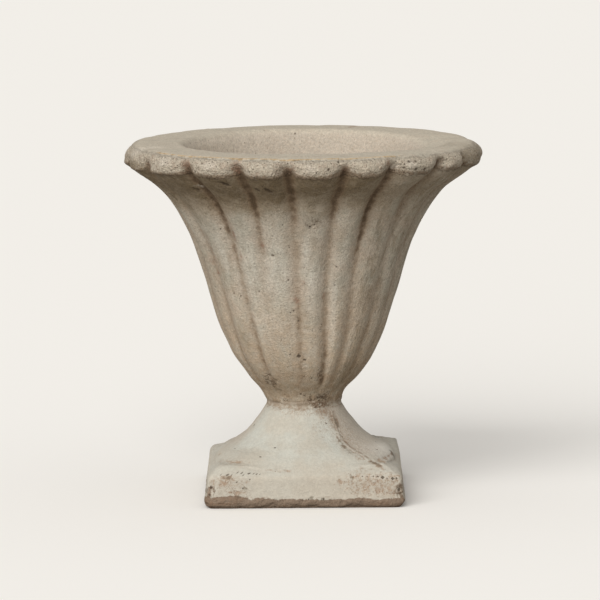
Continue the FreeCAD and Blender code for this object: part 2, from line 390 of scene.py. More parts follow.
def bowl_rows():
    """The bowl's closed profile: outside, bead, lip, inside, floor, bore and underside."""
    outer = [(neck_radius + (rim_radius - neck_radius) * r, bowl_low.z + bowl_height * h,
              depth, power, lift * bowl_height, 0.0) for h, r, depth, power, lift in OUTSIDE_SHARES]
    inner = [plain_row(mouth_radius * r, bowl_low.z + bowl_height * h, INSIDE_POWER)
             for h, r in INSIDE_SHARES]
    line = soft_line(outer + inner)
    rise = (line[:, 1] - bowl_low.z) / bowl_height
    upper = np.clip((rise - BEAD_START_SHARE) / BEAD_FADE_SHARE, 0, 1)
    outside = np.arange(len(line)) < np.argmax(line[:, 1] > bowl_high.z - LIP_START)
    spacing = np.where(outside, BODY_ROW + (BEAD_ROW - BODY_ROW) * upper,
                       INSIDE_ROW + (MOUTH_ROW - INSIDE_ROW) * upper)
    line[:, 1] = np.minimum(line[:, 1], bowl_high.z)
    rows = [tuple(row) for row in spread_rows(line, spacing)]
    for radius, height in ((socket_radius, bowl_floor), (socket_radius, (bowl_floor + bowl_low.z) / 2),
                           (socket_radius, bowl_low.z), ((socket_radius + neck_radius) / 2, bowl_low.z)):
        rows.append(plain_row(radius, height, INSIDE_POWER))
    return rows


bowl = make_casting("bowl_casting", bowl_rows(), "bowl_stone", Segments=LOBES * LOBE_POINTS,
                    Repeats=LOBES, First_Mark=FIRST_CREASE, Crowding=0.4, Crease_Softness=0.3)


# %% [markdown]
# A mould gives regular lobes, but the real ones were worked by hand afterwards and have weathered.
# The next steps do what a mason's file and the rain did. They could be brush strokes in sculpt
# mode; here each is a few lines of arithmetic on all the points at once, so it repeats exactly.

# %% Helpers for hand work
NOISE_CELLS = 32
SPOT_FADE = 1.25


def numbers(items, name, width=1):
    """What every point of a mesh has under a name: one number each, or three."""
    flat = np.empty(len(items) * width, np.float32)
    items.foreach_get(name, flat)
    return flat.astype(float).reshape(-1, width).squeeze()


def points_of(piece):
    """The places of a piece's points."""
    return numbers(piece.data.vertices, "co", 3)


def normals_of(piece):
    """The ways that a piece's points look."""
    return numbers(piece.data.vertex_normals, "vector", 3)


def read(piece, name):
    """A number that the tree left on the points."""
    return numbers(piece.data.attributes[name].data, "value")


def move_points(piece, points):
    """Gives a piece's points new places."""
    piece.data.vertices.foreach_set("co", points.astype(np.float32).ravel())
    piece.data.update()


def paint(piece, name, values):
    """Leaves a mask from 0 to 1 on the mesh, for its material."""
    layer = piece.data.attributes.get(name) or piece.data.attributes.new(name, "FLOAT", "POINT")
    layer.data.foreach_set("value", np.clip(values, 0.0, 1.0).astype(np.float32))


def step(values, low, high):
    """0 at low, 1 at high and a soft step between; low may be above high."""
    t = np.clip((values - low) / (high - low), 0.0, 1.0)
    return t * t * (3.0 - 2.0 * t)


def near(values, middle, reach):
    """A soft bump, 1 at the middle and 0 past its reach."""
    return step(np.abs(values - middle), reach, 0.0)


def between(values, start, full, fading, end):
    """0 up to the start, 1 from full to fading, and 0 again past the end."""
    return step(values, start, full) * step(values, end, fading)


def ripple(points, size, seed):
    """Smooth noise from -1 to 1 whose bumps are about `size` across."""
    grid = np.random.default_rng(seed).uniform(-1.0, 1.0, (NOISE_CELLS,) * 3)
    scaled = points / size
    cell = np.floor(scaled).astype(int)
    part = scaled - cell
    part = part * part * (3.0 - 2.0 * part)
    total = np.zeros(len(points))
    for corner in range(8):
        bits = np.array([corner & 1, corner >> 1 & 1, corner >> 2])
        at = (cell + bits) % NOISE_CELLS
        total += grid[at[:, 0], at[:, 1], at[:, 2]] * np.prod(np.where(bits, part, 1.0 - part), axis=1)
    return total


def ripples(points, mix):
    """Adds up ripples, each with the size of its bumps in mm, its share and its seed."""
    return sum(ripple(points, size * MM, seed) * share for size, share, seed in mix)


def radii(points):
    """How far the points are from the axis."""
    return np.hypot(points[:, 0], points[:, 1])


def wrap(turn, at):
    """Angle in radians from a turn given in degrees, between half a turn each way."""
    return (turn - math.radians(at) + math.pi) % math.tau - math.pi


def around(turn, at, reach):
    """A soft bump round the urn, 1 at a turn and 0 past its reach, both in degrees."""
    return near(np.degrees(wrap(turn, at)), 0.0, reach)


def spots(piece, turn, marks):
    """One mask of soft oval marks: turn in degrees, height share, half width and height in mm, strength."""
    points = points_of(piece)
    radius = radii(points)
    low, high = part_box("bowl" if piece is bowl else "foot")
    mask = np.zeros(len(turn))
    for at, share, wide, tall, strength in marks:
        across = wrap(turn, at) * radius / (wide * MM)
        up = (points[:, 2] - low.z - share * (high.z - low.z)) / (tall * MM)
        mask = np.maximum(mask, step(np.hypot(across, up), SPOT_FADE, 0.0) * strength)
    return mask


# %% [markdown]
# Creases first. On the real bowl no two are alike: they stand at uneven distances, some are deep
# from rim to neck, and some fade out half way down. The ones seen from the front are listed: at six
# heights, each has its turn in degrees, its share of the full depth and its share of the full dirt.
# The others are drawn at random within the same range.

# %% Bowl: uneven creases
CREASE_HEIGHT_SHARES = (0.10, 0.30, 0.50, 0.70, 0.86, 0.96)
HEIGHTS = len(CREASE_HEIGHT_SHARES)
# The crease's number from the front one, and a value for each of the heights.
SEEN_TURNS = {
    -4: (-76, -76, -76, -77, -79, -80),
    -3: (-58, -57.5, -58.5, -61.5, -64, -61),
    -2: (-35, -36.8, -38.2, -39.4, -39.8, -40),
    -1: (-24, -24.4, -22.6, -20.8, -20.2, -21.2),
    0: (-2, -3.2, -3.9, -4.2, -4.4, -5),
    1: (18.5, 15, 13.2, 13.7, 13.6, 13.7),
    2: (31, 31.5, 29.3, 30.3, 29.5, 30),
    3: (49, 49.8, 51, 51.4, 46.8, 50.6),
    4: (67, 67, 67, 68.5, 69.5, 66),
}
SEEN_DEPTH_SHARES = {
    -4: (0.6, 0.6, 0.6, 0.6, 0.6, 0.1),
    -3: (0.8, 0.8, 0.55, 0.5, 0.4, 0.45),
    -2: (0.9, 1, 0.55, 0.85, 1, 0.7),
    -1: (0.3, 0.25, 0.3, 0.5, 1, 1.1),
    0: (0.5, 0.6, 0.55, 0.6, 1, 1.1),
    1: (1.3, 1.45, 1.1, 0.85, 0.9, 1),
    2: (0.7, 0.8, 0.7, 1.1, 1, 1),
    3: (0.5, 0.7, 0.6, 0.9, 0.9, 1),
    4: (0.5, 0.5, 0.5, 0.7, 0.9, 1),
}
SEEN_DIRT_SHARES = {
    -4: (0.4, 0.4, 0.35, 0.35, 0.25, 0.12),
    -3: (0.5, 0.5, 0.35, 0.3, 0.25, 0.8),
    -2: (0.6, 0.58, 0.45, 0.8, 1.12, 1.05),
    -1: (0.15, 0.1, 0.15, 0.62, 1.15, 1.05),
    0: (0.45, 0.52, 0.42, 0.34, 1, 1.05),
    1: (0.8, 0.55, 0.42, 0.5, 0.95, 1.05),
    2: (0.4, 0.45, 0.35, 0.95, 1, 0.9),
    3: (0.4, 0.5, 0.3, 0.4, 0.55, 0.8),
    4: (0.35, 0.3, 0.3, 0.4, 0.7, 0.8),
}
# Between what the others are drawn, and what is added to them at each height.
STRAY_TURNS = (-3.0, 3.0)
STRAY_DEPTHS = (0.4, 1.15)
STRAY_DIRTS = (0.2, 0.9)
MORE_DEPTH = (0.0, 0.0, 0.0, 0.1, 0.3, 0.35)
MORE_DIRT = (0.0, 0.0, 0.0, 0.0, 0.2, 0.4)
CREASE_SWAY = 0.9 * MM
SWAY_SIZE = 40 * MM
SWAY_STRETCH = (1.0, 1.0, 0.35)
LOBE_SWELL = 0.8 * MM
SWELL_STEPS = (7.3, 4.0)
hand = np.random.default_rng(7)


def crease_table(seen, limits, each, more=0.0):
    """One row for each crease: the chosen one where the front shows it, or else a drawn one."""
    rows = [hand.uniform(*limits, each) + more + np.zeros(HEIGHTS) for _ in range(LOBES)]
    for number, chosen in seen.items():
        rows[number % LOBES] = np.array(chosen)
    return np.array(rows)


def regular_turn(number):
    """Turn in degrees of a crease where the mould put it."""
    return math.degrees(FIRST_CREASE) + number * 360.0 / LOBES


def at_creases(table, number, rise):
    """Values of a table at crease numbers and heights, straight between its heights."""
    level = np.interp(rise, CREASE_HEIGHT_SHARES, np.arange(HEIGHTS))
    low = np.minimum(level.astype(int), HEIGHTS - 2)
    part = level - low
    return table[number % LOBES, low] * (1.0 - part) + table[number % LOBES, low + 1] * part


seen_shifts = {number: [(turn - regular_turn(number) + 180.0) % 360.0 - 180.0 for turn in turns]
               for number, turns in SEEN_TURNS.items()}
crease_shifts = crease_table(seen_shifts, STRAY_TURNS, 1)
crease_depths = crease_table(SEEN_DEPTH_SHARES, STRAY_DEPTHS, HEIGHTS, MORE_DEPTH)
crease_dirts = crease_table(SEEN_DIRT_SHARES, STRAY_DIRTS, HEIGHTS, MORE_DIRT)

turn, crease = read(bowl, "turn"), read(bowl, "crease")
outside = read(bowl, "crease_share") > 0.0
notch_depth = read(bowl, "crease_share") * read(bowl, "ring_radius")
points = points_of(bowl)
rise = (points[:, 2] - bowl_low.z) / bowl_height
lobe = (turn - FIRST_CREASE) / (math.tau / LOBES)
left, part = np.floor(lobe).astype(int), lobe - np.floor(lobe)
nearest = np.where(part < 0.5, left, left + 1)
part = step(part, 0.0, 1.0)
shift = ((1.0 - part) * at_creases(crease_shifts, left, rise)
         + part * at_creases(crease_shifts, left + 1, rise))
turn = turn + np.radians(shift)

flat_radius = radii(points)
swell = ripple(np.column_stack([left * SWELL_STEPS[0], rise * SWELL_STEPS[1], left * 0.0]), 1.0, 3)
swell = swell * (1.0 - crease) * LOBE_SWELL
flat_radius += (crease * notch_depth * (1.0 - at_creases(crease_depths, nearest, rise)) + swell) * outside
sway = ripple(points * SWAY_STRETCH, SWAY_SIZE, 5) * crease * outside * CREASE_SWAY
turn = turn + sway / flat_radius
points[:, 0], points[:, 1] = flat_radius * np.sin(turn), -flat_radius * np.cos(turn)
move_points(bowl, points)
print("creases turned by", np.round(shift.min(), 1), "to", np.round(shift.max(), 1), "degrees")


# %% [markdown]
# Then the whole skin. The rim isn't quite round, the skin waves slightly, the lip is hollowed and
# lumpy, and the bead at its edge is full of lumps and crumbled places.

# %% Bowl: out of round, waves, lumps and crumbled places
# Turn, height share, half width in degrees, half height share and push in mm.
RIM_PUSHES = [
    (-95, 0.99, 60, 0.045, 0.8), (105, 0.995, 35, 0.03, -0.8), (-85, 0.125, 60, 0.06, -1),
    (90, 0.035, 60, 0.07, -0.8),
]
# The rim isn't quite round: where its outside and its mouth are drawn in, by how much and how wide.
RIM_DRAWN_TURN = -100.0
RIM_DRAWN_IN = 4.4 * MM
MOUTH_DRAWN_TURN = -95.0
MOUTH_DRAWN_IN = 4.0 * MM
DRAWN_REACH = 75.0
# The lip falls towards the mouth at one turn, and is higher at some others.
MOUTH_RAMP = 4.0 * MM
MOUTH_RAMP_TURN = 85.0
MOUTH_RAMP_REACH = 55.0
MOUTH_RAMP_START = 1.2
# Turn, half width in degrees and rise in mm.
LIP_RISES = [(-12, 60, 1.1), (178, 100, 1.3)]
LIP_PRESS = 0.6
# Turn, half width in degrees and how far the arris hangs down, in mm.
BEAD_DROOPS = [(-62, 36, 3), (86, 40, 3.4), (-100, 40, 1.5), (170, 50, 2)]
BEAD_HEIGHT_SHARE = 0.960
ARRIS_HEIGHT_SHARE = 0.945
# Turn and half width in degrees.
CRUMBLED = [
    (-78, 9), (-44, 12), (-33, 8), (-16, 7), (1.5, 5), (9, 8), (18, 9), (35, 11), (52, 9), (72, 8),
    (118, 10), (151, 12), (196, 13), (232, 9), (263, 12),
]
# Heights of the waves, lumps and grains. Each mix has the sizes of its bumps in mm, their shares
# and their seeds.
WAVE = 0.6 * MM
LUMP = 1.15 * MM
LIP_LUMP = 1.0 * MM
LIP_HOLLOW_SHARE = 0.3
GRIT = 0.5 * MM
CRUMBLE = 1.5 * MM
WAVE_MIX = [(30, 1.0, 11), (12, 0.5, 12)]
LUMP_MIX = [(13, 0.6, 13), (6, 0.5, 14)]
GRIT_MIX = [(3.2, 1.0, 18)]
CRUMBLE_MIX = [(6, 1.6, 15), (3, 0.6, 19)]
LIP_MIX = [(45, 0.7, 16), (16, 0.3, 17)]

points, normals = points_of(bowl), normals_of(bowl)
on_lip = step(rise, 0.985, 1.0)
crumbled = np.zeros(len(turn))
for at, wide in CRUMBLED:
    crumbled = np.maximum(crumbled, around(turn, at, wide))
crumbled *= near(rise, ARRIS_HEIGHT_SHARE + 0.02 * crease, 0.035) * outside

push = ripples(points, WAVE_MIX) * WAVE
push += ripples(points, LUMP_MIX) * near(rise, BEAD_HEIGHT_SHARE, 0.05) * outside * LUMP
push += ripples(points, GRIT_MIX) * near(rise, BEAD_HEIGHT_SHARE, 0.035) * outside * GRIT
push -= crumbled * CRUMBLE * np.clip(ripples(points, CRUMBLE_MIX), -0.1, 1.2)
push *= step(rise, 0.0, 0.03)
for at, share, wide, tall, amount in RIM_PUSHES:
    push += around(turn, at, wide) * near(rise, share, tall) * outside * amount * MM
points += normals * push[:, None]
radius = radii(points)
points[:, 2] -= on_lip * LIP_LUMP * (LIP_HOLLOW_SHARE + ripples(points, LIP_MIX))
for at, wide, up in LIP_RISES:
    points[:, 2] += on_lip * around(turn, at, wide) * up * MM
for at, wide, droop in BEAD_DROOPS:
    points[:, 2] -= around(turn, at, wide) * near(rise, ARRIS_HEIGHT_SHARE, 0.045) * outside * droop * MM

rim_pull = around(turn, RIM_DRAWN_TURN, DRAWN_REACH) * step(rise, 0.930, 0.960)
rim_pull *= step(radius, mouth_radius, rim_radius) * RIM_DRAWN_IN
mouth_pull = around(turn, MOUTH_DRAWN_TURN, DRAWN_REACH) * ~outside * step(rise, 0.85, 0.97) * MOUTH_DRAWN_IN
for pull in (rim_pull, mouth_pull):
    points[:, :2] *= (1.0 - pull / np.maximum(radius, mouth_radius))[:, None]
ramp = around(turn, MOUTH_RAMP_TURN, MOUTH_RAMP_REACH)
ramp *= step(radius, mouth_radius * MOUTH_RAMP_START, mouth_radius)
points[:, 2] -= ramp * step(rise, 0.95, 0.99) * MOUTH_RAMP

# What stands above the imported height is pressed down.
points[:, 2] = np.minimum(points[:, 2], bowl_high.z + LIP_PRESS * (points[:, 2] - bowl_high.z))
move_points(bowl, points)
print("skin pushed from", round(push.min() / MM, 2), "to", round(push.max() / MM, 2), "mm")


# %% [markdown]
# Single marks come last: gouges from the mason's tool under the rim, the fin that the mould left
# where its two halves met, and blow holes, which are air bubbles that lay against the mould. The
# ones that the eye finds at once are placed, and a scatter of others is drawn.

# %% Bowl: gouges, seam and blow holes
# Turn in degrees and height share of the middle, length, width and depth in mm, slope in degrees.
GOUGES = [
    (-26.8, 0.902, 17, 4.6, 2.4, -24), (-16.2, 0.876, 9, 4.4, 2.2, -30),
    (-12.2, 0.878, 13, 4.8, 2.4, -30), (-43.5, 0.866, 9, 3.4, 1.5, -30), (8.4, 0.964, 7, 3.6, 2, 50),
    (53.6, 0.866, 8, 4.5, 0.8, 10), (-16.4, 0.61, 7, 2.6, 1.4, -65), (-68.5, 0.822, 34, 3.4, 1.5, -58),
    (140, 0.875, 12, 4, 1.5, -35), (205, 0.88, 13, 4, 1.6, 30), (250, 0.62, 9, 3, 1.2, 70),
]
# Turn in degrees, height share, radius in mm.
SEEN_HOLES = [
    (-15.6, 0.612, 1.7), (-6.6, 0.639, 1.6), (-26.8, 0.464, 1.8), (-8, 0.512, 1.8), (-46.3, 0.443, 1.7),
    (-41.7, 0.433, 1.9), (-9, 0.732, 1.6), (-43.1, 0.7, 2.1), (18.3, 0.489, 1.6), (0.5, 0.556, 1.5),
    (7, 0.106, 1.8), (-5.9, 0.388, 1.8), (-3.6, 0.348, 1.7), (-3.8, 0.205, 2.8), (0.9, 0.185, 2.4),
    (-4.7, 0.037, 1.9), (-43, 0.824, 1.6), (-33.6, 0.978, 1.7), (-26.3, 0.976, 1.6), (-15.6, 0.962, 1.6),
    (2.4, 0.987, 1.5), (11.7, 0.988, 2.2), (35.8, 0.98, 2.2), (38.7, 0.977, 2), (31.6, 0.978, 1.7),
    (41.8, 0.945, 2), (37.6, 0.948, 2.2), (33.8, 0.955, 1.8), (-36.2, 0.945, 1.7), (5, 0.735, 2.2),
    (3.6, 0.722, 1.9),
]
SEAM_TURNS = (36.0, 216.0)
SEAM_HEIGHT = 0.7 * MM
SEAM_WIDTH = 2.2 * MM
HOLE_COUNT = 90
HOLE_RADIUS = (1.5 * MM, 2.6 * MM)
HOLE_DEPTH_SHARE = 0.5
# How deep a hole and a cut are where their painted shade and dirt is fully dark.
DARK_HOLE = 0.9 * MM
DARK_CUT = 1.0 * MM
FAR_AWAY = 1.0


def surface_point(points, turn, chosen, at_turn, height):
    """The point among the chosen ones that is nearest to a turn in degrees and a height."""
    gap = np.hypot(wrap(turn, at_turn) * radii(points), points[:, 2] - height)
    return int(np.argmin(np.where(chosen, gap, FAR_AWAY)))


def gouge_depth(points, turn, middle, mark):
    """Depth of one slanted gouge, deepest in its middle."""
    at_turn, _, length, width, depth, slope = mark
    across, up = wrap(turn, at_turn) * math.hypot(middle[0], middle[1]), points[:, 2] - middle[2]
    tilt = math.radians(slope)
    along = (across * math.cos(tilt) + up * math.sin(tilt)) / (length * MM / 2)
    beside = (up * math.cos(tilt) - across * math.sin(tilt)) / (width * MM / 2)
    return step(np.hypot(along, beside), 1.0, 0.0) * depth * MM


def drawn_holes(candidates, count, limits):
    """Draws points for holes, each with its radius."""
    return list(zip(hand.choice(candidates, count, replace=False), hand.uniform(*limits, count)))


def press_holes(piece, places):
    """Presses round hollows into a piece and gives back how deep each point lies in one."""
    points, normals = points_of(piece), normals_of(piece)
    sunk = np.zeros(len(points))
    for index, radius in places:
        gap = np.linalg.norm(points - points[index], axis=1)
        sunk = np.maximum(sunk, np.clip(1.0 - (gap / radius) ** 2, 0.0, 1.0) * radius * HOLE_DEPTH_SHARE)
    move_points(piece, points - normals * sunk[:, None])
    return sunk


points, normals = points_of(bowl), normals_of(bowl)
cut = np.zeros(len(points))
for mark in GOUGES:
    middle = points[surface_point(points, turn, outside, mark[0], bowl_low.z + mark[1] * bowl_height)]
    cut = np.maximum(cut, gouge_depth(points, turn, middle, mark) * outside)
seam = np.zeros(len(points))
for at in SEAM_TURNS:
    seam = np.maximum(seam, near(wrap(turn, at) * radii(points), 0.0, SEAM_WIDTH))
seam *= outside * step(rise, 0.02, 0.1) * (0.5 + 0.5 * ripple(points, 14 * MM, 21))
points += normals * (seam * SEAM_HEIGHT - cut)[:, None]
move_points(bowl, points)

places = [(surface_point(points, turn, outside, at, bowl_low.z + share * bowl_height), size * MM)
          for at, share, size in SEEN_HOLES]
candidates = np.flatnonzero(outside & (rise > 0.05) & (rise < 0.92) & (np.cos(turn) < -0.25))
places += drawn_holes(candidates, HOLE_COUNT, HOLE_RADIUS)
holes = press_holes(bowl, places)
# Holes and gouges are painted darker the deeper they are: painted shade in the hollows, with dirt.
paint(bowl, "pits", np.maximum(holes / DARK_HOLE, cut / DARK_CUT))
print(len(GOUGES), "gouges,", len(places), "blow holes")


# %% [markdown]
# Dirt tells the eye how old the urn is. It lies in the creases and round the neck. Under the rim
# the dark band is painted shade together with dirt, and spots of painted shade darken the bead's
# lower edge. The masks are painted on the points, and the material breaks their edges up with
# noise. Rust from something iron left an orange line along the lip's edge.

# %% Bowl: masks for dirt, painted shade and light, bead, lip and stains
# Turn in degrees, height share, half width and half height in mm, strength.
RED_STAINS = [
    (-57, 0.99, 5, 4, 0.5), (-40.5, 0.968, 9, 8, 0.8), (-21.8, 0.97, 8, 9, 0.95),
    (-3.5, 0.962, 6, 6, 0.6), (13.7, 0.962, 6, 5, 0.5), (51, 0.965, 6, 6, 0.5), (-59, 0.95, 7, 7, 0.8),
    (-57.5, 0.61, 6, 20, 0.6), (-60.5, 0.56, 8, 5, 0.5), (28.4, 0.974, 6, 6, 0.8),
    (-36.4, 0.69, 4, 12, 0.8), (-34.8, 0.6, 3.5, 9, 0.75), (-20.9, 0.645, 3.5, 10, 0.6),
    (-3.8, 0.435, 5, 9, 0.6), (0.3, 0.505, 4, 5, 0.5), (12.4, 0.44, 4, 8, 0.5), (-61, 0.68, 4, 10, 0.4),
    (-58.5, 0.517, 4, 6, 0.6), (160, 0.992, 8, 5, 0.8), (250, 0.7, 4, 12, 0.7), (100, 0.97, 5, 6, 0.7),
    (200, 0.45, 5, 12, 0.6),
]
# Dark stains, and one spot of painted shade on the bead's lower edge at the left, at turn -85.
DARK_STAINS_AND_SHADE = [
    (-37, 0.09, 5, 5, 0.4), (-43.2, 0.863, 4, 3, 0.7), (-12, 0.868, 12, 5, 0.5),
    (-26.8, 0.893, 9, 5, 0.4), (17.5, 0.94, 12, 5, 0.5), (-41.9, 0.938, 7, 3, 0.6),
    (1.4, 0.948, 5, 3, 0.6), (-85, 0.96, 16, 14, 0.45), (-3.5, 0.33, 5, 22, 0.35), (24, 0.02, 16, 8, 0.6),
    (180, 0.3, 20, 30, 0.3),
]
PALE_SPOTS = [
    (-42.5, 0.712, 5, 3, 0.8), (-16.4, 0.585, 2.6, 6, 0.8), (1, 0.165, 4, 4, 0.7),
    (-41, 0.878, 7, 2.5, 0.6), (-28, 0.65, 5, 16, 0.35), (36.5, 0.967, 11, 7, 0.9),
    (2.5, 0.966, 11, 6, 0.85), (31.5, 0.962, 6, 5, 0.8), (-30.5, 0.97, 13, 6, 1),
    (-49.5, 0.972, 14, 6.5, 1), (-72, 0.985, 20, 7, 1), (-86, 0.975, 16, 7, 0.9),
    (20.5, 0.3, 5, 36, 0.45), (-66, 0.985, 8, 3, 0.3), (120, 0.5, 9, 22, 0.5),
]
CRUMBLY_PLACES = [
    (-37, 0.095, 11, 13, 0.75), (28, 0.03, 13, 10, 0.78), (-26, 0.015, 8, 5, 0.45),
    (5.3, 0.74, 15, 12, 0.42), (14.5, 0.13, 5, 16, 0.5), (12, 0.01, 9, 4, 0.6), (0, 0.03, 10, 7, 0.45),
    (170, 0.04, 12, 8, 0.8),
]
# Paler stone on the lobes' crowns, partly painted highlight where a crown or a lobe's flank faces the lamp.
PALE_AND_LIT_CROWNS = [
    (10.2, 0.4, 4.5, 45, 0.8), (1.5, 0.61, 7, 30, 1), (18.4, 0.37, 6, 52, 1), (-14, 0.56, 18, 52, 0.75),
    (5.5, 0.46, 11, 48, 0.7), (-30, 0.56, 9, 38, 0.7), (-47, 0.6, 9, 26, 0.8), (22, 0.62, 9, 26, 0.5),
    (-29, 0.3, 9, 20, 0.4), (130, 0.5, 14, 40, 0.7), (205, 0.55, 12, 46, 0.7), (262, 0.45, 12, 40, 0.6),
]
# Spots of painted shade at the rim, at the bead's right end and under the rim, and darker brown patches lower
# on the bowl.
SHADE_AND_DIRT_SPOTS = [
    (74, 0.965, 46, 15, 0.6), (-12, 0.89, 24, 12, 0.6), (20, 0.9, 22, 8, 0.4), (-71, 0.936, 38, 8, 0.9),
    (-30, 0.905, 24, 9, 0.55), (2, 0.912, 26, 8, 0.45), (58, 0.62, 11, 26, 0.35), (62, 0.4, 8, 20, 0.45),
    (-30, 0.06, 26, 14, 0.35), (12, 0.06, 30, 15, 0.35), (45, 0.12, 20, 26, 0.6), (1, 0.36, 9, 30, 0.3),
    (-46, 0.265, 10, 28, 0.4), (150, 0.94, 30, 12, 0.5), (235, 0.3, 20, 40, 0.3),
]
# Turns in degrees where a side starts, is full, begins to fade and ends.
WEATHER_SIDE = (26, 46, 95, 130)
# Over LIT_SIDE the painted shade under the rim is lessened by LIT_UNDERSIDE.
LIT_SIDE = (15, 42, 120, 150)
LIP_LINE = (-63, -53, 28, 38)
LIT_UNDERSIDE = 0.70
SHADE_EDGE_SWAY = 0.035
SHADE_MIX = [(24, 1.0, 51), (9, 0.5, 52)]
# How far to each side of a crease its dirt reaches, how much wider near the rim, and its valley.
DIRT_REACH = 6.5 * MM
MORE_REACH = 3.2 * MM
VALLEY_REACH = (13.0 * MM, 2.0 * MM)
LIP_LINE_SHARE = 0.938
LIP_LINE_WIDTH = 2.4 * MM

points = points_of(bowl)
radius = radii(points)
in_front = np.degrees(wrap(turn, 0.0))
aside = np.abs(wrap(lobe * math.tau / LOBES - nearest * math.tau / LOBES, 0.0)) * radius
dirt = at_creases(crease_dirts, nearest, rise)
arris_lift = 0.014 * crease
in_crease = near(aside, 0.0, DIRT_REACH + MORE_REACH * step(rise, 0.6, 0.9))
valley = step(aside, *VALLEY_REACH) * (0.4 + 0.6 * dirt)
arris_dirt = np.maximum(near(rise, 0.931 + arris_lift, 0.018), spots(bowl, turn, CRUMBLY_PLACES))
weather = np.maximum(between(in_front, *WEATHER_SIDE), around(turn, 230.0, 40.0) * 0.7)
# Painted shade with some dirt under the rim: dark below the bead, fading down the flare.
under_rim = step(rise + SHADE_EDGE_SWAY * ripples(points, SHADE_MIX), 0.730, 0.868)
under_rim *= step(rise, 0.948 + arris_lift, 0.920 + arris_lift)
lip_line = near(radius, rim_radius * LIP_LINE_SHARE, LIP_LINE_WIDTH) * between(in_front, *LIP_LINE)
for name, mask in (
        ("crease_dirt", in_crease * dirt * between(rise, 0.03, 0.09, 0.955, 0.985)),
        ("valley", valley * between(rise, 0.03, 0.12, 0.93, 0.97)),
        ("arris_dirt", arris_dirt),
        ("shade_stain", spots(bowl, turn, SHADE_AND_DIRT_SPOTS)),
        ("crown", spots(bowl, turn, PALE_AND_LIT_CROWNS)),
        ("weather_side", weather * step(rise, 0.96, 0.90)),
        ("under_rim", under_rim * (1.0 - LIT_UNDERSIDE * between(in_front, *LIT_SIDE))),
        ("neck_dirt", step(rise, 0.20, 0.01)),
        ("low_warm", step(rise, 0.55, 0.15)),
        ("bead", between(rise, 0.916 + arris_lift, 0.940 + arris_lift, 0.982, 1.002)),
        ("red_stain", spots(bowl, turn, RED_STAINS)),
        ("dark_stain", spots(bowl, turn, DARK_STAINS_AND_SHADE)),
        ("pale_spot", spots(bowl, turn, PALE_SPOTS))):
    paint(bowl, name, mask * outside)
# Painted light on the inner wall at the left below the mouth, where the rim shadows it.
bloom = around(turn, -105.0, 65.0) * between(rise, 0.65, 0.85, 0.975, 1.0)
paint(bowl, "bloom", bloom * ~outside)
paint(bowl, "inside", ~outside & (rise > 0.1))
paint(bowl, "lip", step(rise, 0.978, 1.0))
paint(bowl, "lip_line", lip_line * step(rise, 0.98, 0.99))
print("bowl box in mm:", np.round(points.min(0) / MM, 1), np.round(points.max(0) / MM, 1))


# %% [markdown]
# The foot and the plinth were poured together. The same tree makes them: the rows of the plinth
# are square, the rows of the foot are round, and the few rows between them turn the top of the
# plinth into the four small spandrels. Points crowd at the corners this time.

# %% Foot: profile
# Radius as a share of the plinth's reach, height as a share of the foot's, share of the square.
FOOT_SHARES = [
    (0.955, 0, 1), (0.983, 0.02, 1), (0.998, 0.055, 1), (0.989, 0.156, 1), (0.98, 0.245, 1),
    (0.972, 0.323, 1), (0.966, 0.3475, 1), (0.953, 0.3586, 0.98), (0.943, 0.362, 0.74),
    (0.934, 0.3655, 0.48), (0.924, 0.372, 0.22), (0.915, 0.382, 0), (0.922, 0.4065, 0), (0.921, 0.44, 0),
    (0.908, 0.479, 0), (0.882, 0.5145, 0), (0.844, 0.537, 0), (0.789, 0.556, 0), (0.733, 0.583, 0),
    (0.682, 0.618, 0), (0.617, 0.667, 0), (0.571, 0.714, 0), (0.531, 0.762, 0), (0.4955, 0.814, 0),
    (0.46, 0.862, 0), (0.43, 0.9076, 0), (0.404, 0.953, 0), (0.379, 1, 0),
]
UNDERSIDE_SHARES = (0.2, 0.4, 0.6, 0.8)
FOOT_ROW = 1.25 * MM
FOOT_POINTS = 480
QUARTER = math.radians(45.0)


def foot_rows():
    """The foot's closed profile: plinth, foot, top, socket, drain and underside."""
    line = soft_line([plain_row(plinth_reach * r, foot_high.z * h, square=square)
                      for r, h, square in FOOT_SHARES])
    rows = [tuple(row) for row in spread_rows(line, FOOT_ROW)]
    for radius, height in ((socket_radius, foot_high.z), (socket_radius, socket_bottom),
                           (drain_radius, socket_bottom), (drain_radius, foot_low.z)):
        rows.append(plain_row(radius, height))
    first = FOOT_SHARES[0][0] * plinth_reach
    for share in UNDERSIDE_SHARES:
        rows.append(plain_row(drain_radius + (first - drain_radius) * share, foot_low.z, square=share))
    return rows


foot = make_casting("foot_casting", foot_rows(), "foot_stone", Segments=FOOT_POINTS, Repeats=4,
                    First_Mark=QUARTER, Crowding=0.42)


# %% [markdown]
# The hand work on the foot: the gutter between the round foot and the plinth is filled, so that a
# straight slope runs over it, fully at the front and less at the other sides and the corners. The
# spandrels climb at the corners, the corners are worn round, the lower edge is ragged, the mould's
# fin runs down to two opposite corners, and pits lie in a row along the plinth's upper arris.

# %% Foot: fillings, worn edges, seam and pits
# Turn of each corner in degrees, how far its spandrel climbs in mm, and how much less at its edge.
SPANDRELS = [(45, 4.5, 0.85), (135, 9.5, 0.4), (225, 4, 0.85), (315, 5, 0.85)]
SPANDREL_REACH = 34.0
# Turn of each side, and then of each corner, in degrees, and share of the gutter filled there.
FILLINGS = [(0, 1), (90, 0.3), (180, 0.9), (270, 0.5)]
FILLING_REACH = 42.0
FULL_FILLING = 16.0
CORNER_FILLINGS = [(45, 0.72), (135, 0.3), (225, 0.4), (315, 0.93)]
CORNER_FILLING_REACH = 60.0
